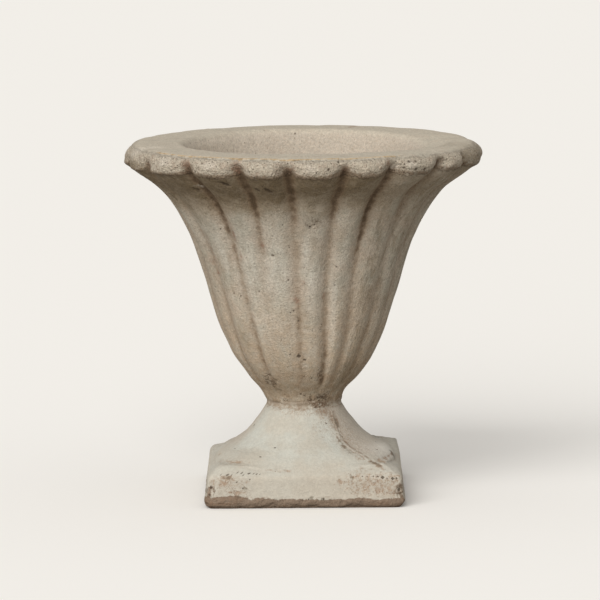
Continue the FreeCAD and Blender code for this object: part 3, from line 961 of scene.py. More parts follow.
# The ends of the slope as shares of radius and height: the plinth's edge, the side, the corner.
HIGH_EDGE_SHARES = (0.966, 0.3475)
SIDE_SLOPE_SHARES = (0.617, 0.6670)
CORNER_SLOPE_SHARES = (0.844, 0.5370)
CORNER_WEAR = 1.5 * MM
EDGE_CRUMBLE = 1.4 * MM
ARRIS_WEAR = 0.8 * MM
ARRIS_SHARE = 0.352
FOOT_WAVE = 0.4 * MM
# Sizes of bumps in mm, shares and seeds: the skin's waves, the lower edge's line and its wear.
FOOT_MIX = [(30, 1.0, 31), (10, 0.5, 32)]
EDGE_LINE_MIX = [(26, 0.014, 44), (9, 0.018, 45), (4, 0.010, 47)]
EDGE_MIX = [(9, 1.0, 34), (4, 0.5, 35)]
ARRIS_MIX = [(14, 1.0, 38), (5, 0.5, 39)]
# Height share and turn in degrees along the mould's seam.
SEAM_PATH = [
    (0.3, 44), (0.35, 44), (0.4, 44.5), (0.47, 41.5), (0.58, 39.5), (0.66, 36.5), (0.78, 39.3),
    (0.95, 42.5), (1, 43),
]
FOOT_SEAM_WIDTH = 1.6 * MM
SEAM_WANDER = 0.9 * MM
# Turn in degrees, height share, radius in mm.
FOOT_HOLES = [
    (27.4, 0.843, 1.3), (-77.5, 0.772, 1.7), (-31.6, 0.528, 1.6), (-32, 0.22, 1.5), (-29.4, 0.317, 1.4),
    (-34.4, 0.297, 1.4), (1.8, 0.108, 1.5), (10.9, 0.106, 1.6), (-43.8, 0.24, 1.9), (-43.9, 0.15, 1.7),
    (42, 0.317, 1.8), (43.6, 0.2, 2),
]
# Turn in degrees and radius in mm.
ARRIS_PITS = [
    (-41.5, 0.9), (-39, 1.7), (-37.2, 0.9), (-35.6, 1), (-34, 1.5), (-32.4, 1), (-30.4, 1.8), (-28.9, 1),
    (-27.3, 1.6), (-25.5, 0.9), (27.5, 0.9), (30.4, 1.2), (33, 1), (35.1, 1.5), (37, 1.7), (38.7, 2),
    (40.2, 1.3), (41.8, 1.9), (43.2, 1.6), (118, 1.8), (127, 1.6), (139, 1.2), (152, 1.7), (200, 1.9),
    (212, 1.2), (236, 1.6), (288, 1.8),
]
# The row of pits isn't level: turns in degrees and height shares between which it runs.
PIT_ROW_TURNS = (-45.0, -20.0, 25.0, 34.0, 43.0, 90.0)
PIT_ROW_SHARES = (0.382, 0.378, 0.352, 0.350, 0.318, 0.350)
PIT_ROW_SWAY = 0.004
FOOT_HOLE_COUNT = 14
FOOT_HOLE_RADIUS = (1.4 * MM, 2.2 * MM)

turn, square = read(foot, "turn"), read(foot, "square_share")
ring_radius, ring_height = read(foot, "ring_radius") / plinth_reach, read(foot, "ring_height") / foot_high.z
points = points_of(foot)
skin = ring_radius > (socket_radius + 1.0 * MM) / plinth_reach

# How far out the square's side is at each turn, as a share of the plinth's reach.
side = (np.abs(np.sin(turn)) ** CORNER_POWER + np.abs(np.cos(turn)) ** CORNER_POWER) ** (-1.0 / CORNER_POWER)


def fill_gutter(points, share, slope_shares):
    """Lays a straight slope from the plinth's edge up to the foot, by a share at each point."""
    (edge_r, edge_h), (slope_r, slope_h) = HIGH_EDGE_SHARES, slope_shares
    way = 0.5 * ((ring_height - edge_h) / (slope_h - edge_h) + (edge_r - ring_radius) / (edge_r - slope_r))
    on_slope = (way > 0.0) & (way < 1.0) & (ring_height < slope_h) & (ring_height > 0.9 * edge_h)
    share = share * (skin & on_slope)
    radius = radii(points)
    radius += (plinth_reach * (edge_r * side * (1.0 - way) + slope_r * way) - radius) * share
    height = points[:, 2] + (foot_high.z * (edge_h * (1.0 - way) + slope_h * way) - points[:, 2]) * share
    return np.column_stack([radius * np.sin(turn), -radius * np.cos(turn), height]), share


side_share, corner_share = np.zeros(len(points)), np.zeros(len(points))
for at, share in FILLINGS:
    away = np.abs(np.degrees(wrap(turn, at)))
    side_share = np.maximum(side_share, step(away, FILLING_REACH, FULL_FILLING) * share)
for at, share in CORNER_FILLINGS:
    corner_share = np.maximum(corner_share, around(turn, at, CORNER_FILLING_REACH) ** 0.5 * share)
points, corner_filled = fill_gutter(points, corner_share * (1.0 - side_share), CORNER_SLOPE_SHARES)
points, side_filled = fill_gutter(points, side_share, SIDE_SLOPE_SHARES)
filled = np.maximum(corner_filled, side_filled)
rise = points[:, 2] / foot_high.z
on_top = between(rise, 0.345, 0.360, 0.39, 0.47) * skin
for at, lift, edge_drop in SPANDRELS:
    corner = around(turn, at, SPANDREL_REACH)
    points[:, 2] += lift * MM * corner * on_top * np.clip(1.0 - edge_drop * square, 0.0, 1.0) ** 0.7
move_points(foot, points)

points, normals = points_of(foot), normals_of(foot)
at_corner = near(wrap(turn * 4.0, 180.0), 0.0, 0.34) * (square > 0.5)
wavy = ripples(points, EDGE_LINE_MIX) + 0.035 * around(turn, -38.0, 24.0)
low_edge = step(rise, 0.122 + wavy, 0.088 + wavy) * skin
arris = near(rise, ARRIS_SHARE, 0.03) * (square > 0.9)
push = ripples(points, FOOT_MIX) * FOOT_WAVE
push -= at_corner * CORNER_WEAR * (0.4 + 0.6 * np.abs(ripple(points, 6 * MM, 33)))
push -= low_edge * EDGE_CRUMBLE * np.clip(0.2 + ripples(points, EDGE_MIX), 0, 1)
push -= arris * ARRIS_WEAR * np.clip(0.5 + ripples(points, ARRIS_MIX), 0, 1.5)
push *= skin * step(rise, 1.0, 0.97) * (rise >= 0.004)
path_heights, path_turns = np.array(SEAM_PATH).T
beside = np.full(len(points), FAR_AWAY)
for half_turn in (0.0, 180.0):
    away = wrap(turn - np.radians(np.interp(rise, path_heights, path_turns) + half_turn), 0.0)
    beside = np.where(np.abs(away) < 1.0, away * radii(points), beside)
beside += ripple(points, 7 * MM, 36) * SEAM_WANDER
along_seam = between(rise, 0.30, 0.345, 0.93, 1.0) * (0.6 + 0.4 * ripple(points, 12 * MM, 37)) * skin
seam = near(beside, 0.0, FOOT_SEAM_WIDTH) * along_seam
points += normals * (push + seam * SEAM_HEIGHT)[:, None]
points[:, 2] = np.maximum(points[:, 2], foot_low.z)
move_points(foot, points)

places = []
for at, size in ARRIS_PITS:
    share = np.interp(at, PIT_ROW_TURNS, PIT_ROW_SHARES) + PIT_ROW_SWAY * math.sin(7.0 * at)
    places.append((surface_point(points, turn, skin, at, share * foot_high.z), size * MM))
places += [(surface_point(points, turn, skin, at, share * foot_high.z), size * MM)
           for at, share, size in FOOT_HOLES]
candidates = np.flatnonzero(skin & (rise > 0.08) & (rise < 0.95) & (np.cos(turn) < 0.5))
places += drawn_holes(candidates, FOOT_HOLE_COUNT, FOOT_HOLE_RADIUS)
holes = press_holes(foot, places)
print("foot:", len(places), "holes and pits, seam pushed out", round(SEAM_HEIGHT / MM, 1), "mm")


# %% [markdown]
# The foot's masks follow. Dirt has washed down from the mortar joint, most of it on the right of
# the front, where the mould's seam led the water. Iron and earth left stains on the plinth.

# %% Foot: masks
# Turn in degrees, height share, half width and half height in mm, strength.
FOOT_STAINS = [
    (26.3, 0.342, 9, 2.6, 0.9), (38.6, 0.2, 17, 9, 0.55), (44.6, 0.18, 5, 15, 0.85),
    (-43.9, 0.21, 4, 12, 0.75), (-34.5, 0.18, 11, 2.4, 0.65), (-38, 0.31, 8, 2, 0.6),
    (-13.5, 0.402, 13, 1.6, 0.8), (-42, 0.475, 14, 1.8, 0.7), (-20, 0.412, 10, 1.3, 0.6),
    (48, 0.464, 9, 1.9, 0.95), (57, 0.463, 9, 1.9, 0.95), (66, 0.462, 9, 1.9, 0.9),
    (74, 0.457, 8, 2, 0.9), (43, 0.35, 7, 1.6, 0.8), (41, 0.385, 7, 1.6, 0.8), (-56, 0.445, 9, 2.4, 0.45),
    (-30, 0.3, 9, 2, 0.5), (-0.5, 0.175, 1.2, 6, 0.6), (20, 0.235, 8, 3, 0.55), (-38, 0.06, 14, 3, 0.7),
    (34.5, 0.27, 32, 14, 0.55), (-34, 0.11, 30, 5, 0.55), (-10, 0.03, 20, 2, 0.5),
    (36, 0.05, 14, 3.5, 0.8), (78.5, 0.445, 6, 4, 0.8), (41.5, 0.444, 5, 4, 0.9),
    (32.7, 0.409, 9, 2, 0.5), (-50.6, 0.466, 9, 1.8, 0.55), (-74, 0.47, 9, 2, 0.5),
    (130, 0.2, 26, 8, 0.5), (25.7, 0.343, 3.5, 3, 0.8), (-38.2, 0.341, 9, 3, 0.9),
    (-40.1, 0.287, 11, 5, 0.8), (19.7, 0.278, 6, 5, 0.7), (-34.7, 0.167, 8, 1.6, 0.6),
    (37.5, 0.5, 6, 7, 0.5), (35, 0.62, 5, 6, 0.6), (200, 0.18, 18, 3, 0.6), (250, 0.3, 12, 4, 0.6),
    (96, 0.12, 14, 5, 0.5),
]
FOOT_DARKS = [
    (41.8, 0.452, 3.5, 3, 0.75), (78.7, 0.445, 7, 6, 0.9), (80.5, 0.45, 5, 4, 0.8),
    (41.1, 0.842, 4, 10, 0.6), (34.9, 0.614, 4, 8, 0.6), (25.7, 0.343, 3.5, 3, 0.7),
    (38.5, 0.72, 4, 9, 0.4), (44.4, 0.19, 4.5, 12, 0.55), (3.5, 0.118, 3, 2.5, 0.9),
    (10.1, 0.107, 3, 2.5, 0.8), (-31.2, 0.231, 3, 2.2, 0.9), (-38.2, 0.341, 6, 2.2, 0.6),
    (140, 0.3, 12, 8, 0.5), (222, 0.2, 9, 10, 0.5), (228, 0.5, 9, 9, 0.5),
]
RUN_DOWN = [
    (40, 0.86, 9, 14, 0.8), (27, 0.97, 13, 8, 0.9), (4, 1, 16, 4, 0.5), (41, 0.66, 8, 14, 0.45),
    (-50, 0.98, 16, 4, 0.5), (215, 0.8, 12, 18, 0.6),
]
SPECKLED_PLACES = [
    (35, 0.25, 36, 15, 1), (40, 0.19, 14, 12, 1), (28, 0.88, 12, 16, 0.9), (18, 0.8, 12, 14, 0.6),
    (33, 0.7, 10, 16, 0.6), (50, 0.72, 24, 24, 0.8), (50, 0.55, 22, 9, 0.7), (-38, 0.24, 22, 14, 0.8),
    (-5, 0.96, 34, 8, 0.7), (62, 0.45, 26, 9, 0.6), (230, 0.3, 30, 16, 0.7), (150, 0.7, 30, 24, 0.6),
]
# Painted light on the right spandrel's slope, which faces away from the lamp.
PAINTED_LIGHT_PLACES = [(72, 0.5, 34, 9, 1), (58, 0.53, 20, 8, 0.7), (50, 0.4, 12, 3, 0.6)]
FOOT_SIDE = (26, 44, 90, 120)
# How deep a pit is where its painted shade and dirt is fully dark.
DARK_PIT = 0.55 * MM
SEAM_DIRT_PLACE = 2.6 * MM
SEAM_DIRT_REACH = 2.4 * MM

front_right, back_left = (between(np.degrees(wrap(turn, at)), *FOOT_SIDE) for at in (0.0, 180.0))
seam_dirt = near(np.abs(beside), SEAM_DIRT_PLACE, SEAM_DIRT_REACH) * along_seam
seam_dirt *= 0.75 + 0.5 * ripple(points, 10 * MM, 46)
neck_line = step(rise + 0.02 * ripple(points, 6 * MM, 48), 0.950, 1.03)
for name, mask in (
        ("pits", holes / DARK_PIT),
        ("seam_dirt", seam_dirt * (0.55 + 0.45 * step(rise, 0.44, 0.56))),
        ("warm_side", (front_right + back_left) * step(rise, 0.44, 0.60)),
        ("corner", at_corner * skin * step(rise, 0.31, 0.22)),
        ("dark_stain", spots(foot, turn, FOOT_DARKS) * skin),
        ("low_edge", low_edge),
        ("plinth_side", (square > 0.9) * step(rise, 0.37, 0.34)),
        ("low_skirt", step(rise, 0.60, 0.42) * skin),
        ("gutter", near(rise, 0.385, 0.05) * (square < 0.6) * (1.0 - filled) * skin),
        ("neck_dirt", np.maximum(neck_line, spots(foot, turn, RUN_DOWN)) * skin),
        ("speckled", spots(foot, turn, SPECKLED_PLACES) * skin),
        ("stain", spots(foot, turn, FOOT_STAINS) * skin),
        ("painted_light_on_foot", spots(foot, turn, PAINTED_LIGHT_PLACES) * skin)):
    paint(foot, name, mask)
print("foot box in mm:", np.round(points.min(0) / MM, 1), np.round(points.max(0) / MM, 1))


# %% [markdown]
# Between the castings lies the mortar. It was pressed out a little all round when the bowl was set
# down, then wiped off almost flush, so it hardly shows except where it has crumbled. The ring is
# the same turned shape with short waves, and it carries the sleeve of grout round the pipe.

# %% Neck mortar
SMEAR = 2.2 * MM
SMEAR_PROUD = 0.10 * MM
MORTAR_ROW = 0.5 * MM
MORTAR_ROUGH = 0.20 * MM
MORTAR_WANDER = 1.2 * MM
MORTAR_MIX = [(4, 1.0, 41), (2, 0.7, 42)]
BROKEN_ROUGH = 0.8 * MM
BROKEN_TURN = 25.0
BROKEN_REACH = 28.0


def mortar_rows():
    """Grout sleeve with the bed's outer face pressed out over both edges."""
    face = [
        (foot_top_radius - 1.5 * MM, foot_high.z), (foot_top_radius + 0.2 * MM, foot_high.z - SMEAR),
        (foot_top_radius + SMEAR_PROUD, foot_high.z), (mortar_high.x + 0.5 * MM, foot_high.z + 1.6 * MM),
        (mortar_high.x + 0.5 * MM, bowl_low.z - 1.6 * MM), (neck_radius + 0.5 * MM, bowl_low.z),
        (neck_radius + 0.8 * MM, bowl_low.z + SMEAR), (neck_radius - 1.5 * MM, bowl_low.z)]
    line = spread_rows(soft_line([plain_row(*place) for place in face]), MORTAR_ROW)
    start = [(pipe_high.x, socket_bottom), (socket_radius, socket_bottom), (socket_radius, foot_high.z)]
    end = [(socket_radius, bowl_low.z), (socket_radius, bowl_floor), (pipe_high.x, bowl_floor)]
    return ([plain_row(*place) for place in start] + [tuple(row) for row in line]
            + [plain_row(*place) for place in end])


mortar = make_casting("mortar_bed", mortar_rows(), "mortar", Segments=300, Repeats=1,
                      First_Mark=0.0, Crowding=0.0)
points, normals = points_of(mortar), normals_of(mortar)
face = step(radii(points), neck_radius - 2.0 * MM, neck_radius - 1.0 * MM)
broken = around(read(mortar, "turn"), BROKEN_TURN, BROKEN_REACH)
rough = MORTAR_ROUGH + (BROKEN_ROUGH - MORTAR_ROUGH) * broken
push = (ripples(points, MORTAR_MIX) - 0.6 * broken) * rough * face
points += normals * push[:, None]
points[:, 2] += face * ripple(points * [1, 1, 0], 8 * MM, 43) * MORTAR_WANDER
move_points(mortar, points)
paint(mortar, "broken", broken)
paint(mortar, "upper", step(points[:, 2], foot_high.z - SMEAR, bowl_low.z + 0.5 * MM))


# %% [markdown]
# Crumbs of mortar still stick to the joint, most of them right of the front, where it has broken
# away. They repeat a shape that the eye never studies, so Geometry Nodes scatter them: points on
# the mortar's face, a rough stone of a few facets on each, turned and sized at random from one seed.

# %% Crumbs of mortar
CRUMB_INPUTS = [
    ("Geometry", "Geometry", None), ("Density", "Float", None), ("Smallest", "Float", None),
    ("Largest", "Float", None), ("Seed", "Int", None), ("Finish", "Material", None),
]
CRUMB_DENSITY = 1.6e5
CRUMB_SIZES = (0.3 * MM, 1.0 * MM)
CRUMB_REACH = 5.0 * MM
HALF_GREY = (0.5, 0.5, 0.5)
FULL_TURNS = (math.tau, math.tau, math.tau)


def crumb_tree():
    """Scatters crumbs over the faces whose mask says so."""
    tree, given, out = node_group("mortar crumbs", "GeometryNodeTree", CRUMB_INPUTS, SHAPE_OUTPUT)
    mask = wire(tree, "GeometryNodeInputNamedAttribute", {"Name": "crumbly"}, data_type="FLOAT")
    scatter = wire(tree, "GeometryNodeDistributePointsOnFaces", {
        "Mesh": given["Geometry"], "Density": given["Density"] * mask, "Seed": given["Seed"]}, "Points")
    crumb = wire(tree, "GeometryNodeMeshIcoSphere", {"Radius": 1.0, "Subdivisions": 2})
    noise = wire(tree, "ShaderNodeTexNoise", {"Scale": 1.3}, "Color")
    dent = calc_place(tree, "SUBTRACT", {0: noise, 1: HALF_GREY})
    rough = wire(tree, "GeometryNodeSetPosition", {"Geometry": crumb, "Offset": dent})
    size = wire(tree, "FunctionNodeRandomValue", {
        2: given["Smallest"], 3: given["Largest"], 8: given["Seed"]}, 1, data_type="FLOAT")
    facing = wire(tree, "FunctionNodeRandomValue", {1: FULL_TURNS, 8: given["Seed"]},
                  data_type="FLOAT_VECTOR")
    stuck = wire(tree, "GeometryNodeInstanceOnPoints", {
        "Points": scatter, "Instance": rough, "Rotation": facing, "Scale": size})
    end_shape(tree, stuck, given["Finish"], out[0])
    return tree


crumbs = stand("mortar_crumbs", mortar.data.copy())
few = 0.04 + 0.96 * broken
paint(crumbs, "crumbly", (face > 0.9) * few * near(points[:, 2], (foot_high.z + bowl_low.z) / 2, CRUMB_REACH))
run_tree(crumbs, crumb_tree(), Density=CRUMB_DENSITY, Smallest=CRUMB_SIZES[0], Largest=CRUMB_SIZES[1], Seed=5,
         Finish=finishes["mortar"])


# %% [markdown]
# Stone finishes share three effects, and each is a node group. Sand is the fine grain of the
# cement skin. Blow holes are round pits of mixed sizes: only some cells of a Voronoi pattern get
# one. Clouds are the soft patches of lighter and darker stone, and they also break up the edges
# of the painted masks.

# %% Shader groups: sand, blow holes, clouds
def shader_group(name, defaults, output):
    """An empty shader group that reads a place and some sizes, and gives some numbers."""
    inputs = [("Place", "Vector", None)] + [(title, "Float", value) for title, value in defaults.items()]
    return node_group(name, "ShaderNodeTree", inputs, [(title, "Float") for title in output])


def sand_group():
    """Fine grains: their shade and their height."""
    tree, given, out = shader_group("sand", {"Grain": 0.6}, ("Shade", "Height"))
    scale = 1.0 / MM / given["Grain"]
    fine = wire(tree, "ShaderNodeTexNoise", {
        "Vector": given["Place"], "Scale": scale, "Detail": 3.0, "Roughness": 0.65})
    grain = wire(tree, "ShaderNodeTexVoronoi", {"Vector": given["Place"], "Scale": scale * 0.8}, "Distance")
    fade(tree, fine, 0.3, 0.7).into(out["Shade"])
    (fine * 0.7 + grain * -0.3).into(out["Height"])
    return tree


def holes_group():
    """Round holes in some cells of a pattern, each with its own size."""
    tree, given, out = shader_group("blow holes", {"Spacing": 6.0, "Share": 0.3, "Size": 0.3}, ("Hole",))
    scale = 1.0 / MM / given["Spacing"]
    warp = wire(tree, "ShaderNodeTexNoise", {"Vector": given["Place"], "Scale": scale * 2.5}, "Color")
    bent = calc_place(tree, "SUBTRACT", {0: warp, 1: HALF_GREY})
    bent = calc_place(tree, "SCALE", {0: bent, "Scale": 0.35 / scale})
    moved = calc_place(tree, "ADD", {0: given["Place"], 1: bent})
    cells = place(tree, "ShaderNodeTexVoronoi", {"Vector": moved, "Scale": scale}).outputs
    colours = place(tree, "ShaderNodeSeparateXYZ", {0: Wire(tree, cells["Color"])}).outputs
    drawn, spread = Wire(tree, colours[0]), Wire(tree, colours[1])
    radius = given["Size"] * (spread * 0.65 + 0.35)
    hole = fade(tree, (radius - Wire(tree, cells["Distance"])) / radius, 0.0, 0.55)
    (hole * calc(tree, "LESS_THAN", drawn, given["Share"])).into(out["Hole"])
    return tree


def clouds_group():
    """Soft patches, 0 between them and 1 in their middles."""
    tree, given, out = shader_group("clouds", {"Size": 30.0, "Low": 0.4, "High": 0.6}, ("Cloud",))
    noise = wire(tree, "ShaderNodeTexNoise", {
        "Vector": given["Place"], "Scale": 1.0 / MM / given["Size"], "Detail": 5.0, "Roughness": 0.6})
    fade(tree, noise, given["Low"], given["High"]).into(out["Cloud"])
    return tree


SAND, HOLES, CLOUDS = sand_group(), holes_group(), clouds_group()


def effect(tree, group, where, **values):
    """Adds a shared group to a material with its own values, and gives its outputs."""
    made = place(tree, "ShaderNodeGroup", {"Place": where, **values}, node_tree=group)
    return {socket.name: Wire(tree, socket) for socket in made.outputs}


def start_finish(slot, roughness, shine):
    """Clears a material and gives its tree, its shader's inputs and the place on the object."""
    material = finishes[slot]
    material.use_nodes = True
    tree = material.node_tree
    tree.nodes.clear()
    shader = place(tree, "ShaderNodeBsdfPrincipled", {"Roughness": roughness, "Specular IOR Level": shine})
    tree.links.new(shader.outputs[0], tree.nodes.new("ShaderNodeOutputMaterial").inputs[0])
    return tree, shader.inputs, wire(tree, "ShaderNodeTexCoord", output="Object")


def cloud_layer(tree, where):
    """Gives a short way to lay clouds: size in mm, and the noise where they begin and are full."""
    def cloud(size, low, high, at=where):
        return effect(tree, CLOUDS, at, Size=size, Low=low, High=high)["Cloud"]
    return cloud


def torn_masks(tree, torn, usual):
    """Gives a short way to read painted masks whose edges are torn by a pattern."""
    def ragged(name, low, high, roughen=usual):
        mask = painted(tree, name)
        return fade(tree, mask + torn * roughen, low, high) * fade(tree, mask, 0.0, 0.12)
    return ragged


def stretched(tree, where, scale):
    """The place squeezed along some axes, so that a pattern on it runs out along them."""
    return wire(tree, "ShaderNodeMapping", {"Vector": where, "Scale": scale})


def along_flutes(tree, where, squeeze):
    """A place that stays the same down a flute, so that a pattern on it runs out along the flute."""
    x, y, z = (Wire(tree, part) for part in place(tree, "ShaderNodeSeparateXYZ", {0: where}).outputs)
    around = calc_place(tree, "NORMALIZE", {0: wire(tree, "ShaderNodeCombineXYZ", {0: x, 1: y})})
    around = calc_place(tree, "SCALE", {0: around, "Scale": 2 * neck_radius})
    up = wire(tree, "ShaderNodeCombineXYZ", {2: z * squeeze})
    return calc_place(tree, "ADD", {0: around, 1: up})


def bump(tree, inputs, height):
    """Bends the shading by a height in millimetres."""
    wire(tree, "ShaderNodeBump", {"Height": height, "Distance": MM, "Strength": 1.0}).into(inputs["Normal"])


def shade(tree, colour, value, depth):
    """Makes a colour lighter and darker by a value from 0 to 1, by up to half the depth each way."""
    factor = value * depth + (1.0 - depth / 2)
    return wire(tree, "ShaderNodeHueSaturation", {"Value": factor, "Color": colour})


def relief(heights):
    """Adds up patterns, each with its height in millimetres."""
    return sum(pattern * height for pattern, height in heights)


def layers(tree, colour, coats):
    """Lays coats of colour over each other: each has its mask, how much it covers and its colour."""
    for mask, cover, over in coats:
        colour = blend(tree, mask * cover, colour, over)
    return colour


# %% [markdown]
# The bowl's stone is warm grey cement. Over it lie soft patches, streaks that run down the lobes,
# brown dirt where the masks say so, and a paler, coarser bead whose sand has washed out. Under the
# rim a band of painted shade and dirt darkens the flare, paler crowns carry painted highlights, and
# painted light brightens the inner wall at the left. Pits are painted dark inside: painted shade in
# the hollows, with dirt.

# %% Finish: bowl stone
STONE_PALE = (0.58, 0.522, 0.428, 1)
STONE_WARM = (0.47, 0.395, 0.302, 1)
STONE_GREEN = (0.445, 0.425, 0.345, 1)
STONE_HIGHLIGHT = (0.62, 0.585, 0.50, 1)
STONE_OLIVE = (0.29, 0.255, 0.185, 1)
STONE_PINK = (0.45, 0.35, 0.265, 1)
STONE_TAN = (0.54, 0.40, 0.265, 1)
# The next colour is the painted shade under the rim, and also darker streaks, stains and pores.
SHADE_AND_DIRT_BROWN = (0.212, 0.160, 0.097, 1)
DIRT_SOFT = (0.235, 0.158, 0.095, 1)
# The next colour darkens creases and dark stains, and the spot of painted shade among them.
DARK_DIRT_AND_SHADE = (0.095, 0.062, 0.035, 1)
BEAD_CREAM = (0.56, 0.485, 0.375, 1)
BEAD_SPECK = (0.25, 0.165, 0.11, 1)
LIP_GREY = (0.53, 0.468, 0.37, 1)
INSIDE_PINK = (0.49, 0.425, 0.345, 1)
RUST_LINE = (0.56, 0.38, 0.19, 1)
RED_BROWN = (0.25, 0.135, 0.085, 1)
# The next colour is pale chalk, and also the painted light inside the bowl.
PALE_CHALK_AND_PAINTED_LIGHT = (0.68, 0.60, 0.49, 1)
PIT_SHADE_AND_DIRT = (0.075, 0.052, 0.033, 1)


def bowl_finish():
    """Warm grey cement with coats of stains and dirt, and a coarse bead."""
    tree, inputs, where = start_finish("bowl_stone", 0.9, 0.2)
    cloud = cloud_layer(tree, where)
    flutes = along_flutes(tree, where, 0.25)
    bands, streaks = cloud(9.0, 0.40, 0.66, flutes), cloud(4.0, 0.46, 0.66, flutes)
    hairs = cloud(1.6, 0.48, 0.68, flutes)
    edges, mottle, blotch = cloud(5.0, 0.25, 0.75), cloud(2.4, 0.30, 0.70), cloud(8.0, 0.30, 0.70)
    sand, coarse = effect(tree, SAND, where, Grain=0.9), effect(tree, SAND, where, Grain=1.5)
    pores = effect(tree, HOLES, where, Spacing=2.8, Share=0.45, Size=0.27)["Hole"]
    few_holes = effect(tree, HOLES, where, Spacing=8.0, Share=0.40, Size=0.14)["Hole"]
    bead_holes = effect(tree, HOLES, where, Spacing=2.9, Share=0.6, Size=0.32)["Hole"]
    lip, inside = painted(tree, "lip"), painted(tree, "inside")
    # under holds the painted shade and dirt below the rim.
    under, weather = painted(tree, "under_rim"), painted(tree, "weather_side")
    ragged = torn_masks(tree, edges * 0.7 + mottle * 0.5 - 0.6, 0.55)

    def broken(name, least):
        return painted(tree, name) * (blotch * (1.25 - least) + least)

    bead, arris = ragged("bead", 0.25, 0.85, 0.8), ragged("arris_dirt", 0.35, 1.0, 1.0)
    rough = calc(tree, "MAXIMUM", bead, arris)
    crease = broken("crease_dirt", 0.75)
    colour = layers(tree, blend(tree, cloud(60.0, 0.38, 0.64), STONE_PALE, STONE_WARM), [
        (cloud(17.0, 0.42, 0.62), 0.55, STONE_GREEN),
        (cloud(26.0, 0.50, 0.68), 0.45, STONE_PINK),
        (cloud(9.0, 0.52, 0.68), 0.30, STONE_WARM),
        (bands, 0.25, STONE_WARM),
        # Paler crowns, partly painted highlight.
        (broken("crown", 0.6), 0.70, STONE_HIGHLIGHT),
        (weather, 0.06, STONE_OLIVE),
        (weather * bands, 0.28, STONE_OLIVE),
        (weather * streaks, 0.36, SHADE_AND_DIRT_BROWN),
        (streaks, 0.21, SHADE_AND_DIRT_BROWN),
        (hairs, 0.15, DIRT_SOFT),
        (fade(tree, coarse["Shade"], 0.60, 1.0), 0.22, DIRT_SOFT),
        (fade(tree, coarse["Shade"], 0.35, 0.0), 0.25, PALE_CHALK_AND_PAINTED_LIGHT),
        (broken("valley", 0.5), 0.45, STONE_PINK),
        (broken("low_warm", 0.3), 0.46, STONE_TAN),
        # Painted shade and dirt under the rim: a tan fringe, then the dark brown band.
        (fade(tree, under, 0.0, 0.5), 0.24, STONE_TAN),
        (broken("under_rim", 0.8), 0.92, SHADE_AND_DIRT_BROWN),
        (broken("neck_dirt", 0.3), 0.50, DIRT_SOFT),
        (inside, 0.85, INSIDE_PINK),
        (inside * cloud(12.0, 0.48, 0.68), 0.35, STONE_WARM),
        (inside * cloud(5.0, 0.55, 0.68), 0.40, BEAD_CREAM),
        (inside * fade(tree, coarse["Shade"], 0.55, 0.9), 0.40, STONE_PINK),
        (inside * cloud(2.2, 0.52, 0.72), 0.30, STONE_PINK),
        # Painted light on the inner wall at the left.
        (painted(tree, "bloom"), 0.75, PALE_CHALK_AND_PAINTED_LIGHT),
        (inside * pores, 0.35, SHADE_AND_DIRT_BROWN),
        (bead, 0.85, BEAD_CREAM),
        (bead * cloud(6.0, 0.48, 0.66), 0.55, STONE_PINK),
        (bead * cloud(3.5, 0.56, 0.70), 0.60, PALE_CHALK_AND_PAINTED_LIGHT),
        (lip, 1.0, LIP_GREY),
        (lip * cloud(11.0, 0.45, 0.70), 0.40, STONE_PINK),
        (lip * cloud(22.0, 0.50, 0.72), 0.40, STONE_GREEN),
        (arris, 0.65, DIRT_SOFT),
        # Spots of painted shade near the rim, and darker brown patches lower down.
        (ragged("shade_stain", 0.0, 1.0), 0.80, SHADE_AND_DIRT_BROWN),
        # Darker flecks and warm streaks within the painted shade under the rim.
        (under * cloud(3.0, 0.46, 0.64), 0.36, DARK_DIRT_AND_SHADE),
        (under * cloud(4.0, 0.50, 0.66, flutes), 0.10, STONE_WARM),
        (fade(tree, crease, 0.0, 0.9), 0.70, DIRT_SOFT),
        (fade(tree, crease, 0.44, 1.12), 0.90, DARK_DIRT_AND_SHADE),
        (ragged("red_stain", 0.15, 0.9, 0.8), 0.65, RED_BROWN),
        # Dark stains, with one spot of painted shade at the bead's left.
        (ragged("dark_stain", 0.15, 0.9), 0.80, DARK_DIRT_AND_SHADE),
        (ragged("pale_spot", 0.15, 0.9), 0.75, PALE_CHALK_AND_PAINTED_LIGHT),
        (ragged("lip_line", 0.20, 1.0, 1.2), 0.70, RUST_LINE),
        (rough * fade(tree, coarse["Shade"], 0.60, 0.95), 0.55, BEAD_SPECK),
        (pores * (1.0 - lip * 0.8), 0.35, SHADE_AND_DIRT_BROWN),
    ])
    colour = shade(tree, colour, mottle, 0.24)
    colour = shade(tree, colour, sand["Shade"], 0.22)
    # Pits painted dark: painted shade in the hollows, with dirt.
    pits = calc(tree, "MAXIMUM", few_holes * 0.8, bead_holes * rough)
    pits = calc(tree, "MAXIMUM", pits, fade(tree, painted(tree, "pits"), 0.30, 0.9))
    blend(tree, pits * 0.85, colour, PIT_SHADE_AND_DIRT).into(inputs["Base Color"])
    bump(tree, inputs, relief([
        (mottle, 0.20), (sand["Height"], 0.60), (coarse["Height"], 0.75), (blotch, 0.30),
        (streaks * (weather + 0.3), -0.35), (hairs, -0.06), (pores, -0.45), (few_holes, -0.6),
        (coarse["Height"] * rough, 1.5), (mottle * rough, 0.5), (edges * rough, 0.9),
        (bead_holes * rough, -0.8)]))


bowl_finish()
print("bowl finish:", len(finishes["bowl_stone"].node_tree.nodes), "nodes")


# %% [markdown]
# The foot was cast from a paler, finer mix and has been handled less, so it is smooth, with a
# greenish cream tone. Brown wear shows at the plinth's corners and along its lower edge, dirt lies
# in the gutter round the foot and along the mould's seam, and long scuffs run across the plinth.
# A patch of painted light brightens the right spandrel, and pits are painted dark: painted shade
# in the hollows, with dirt.

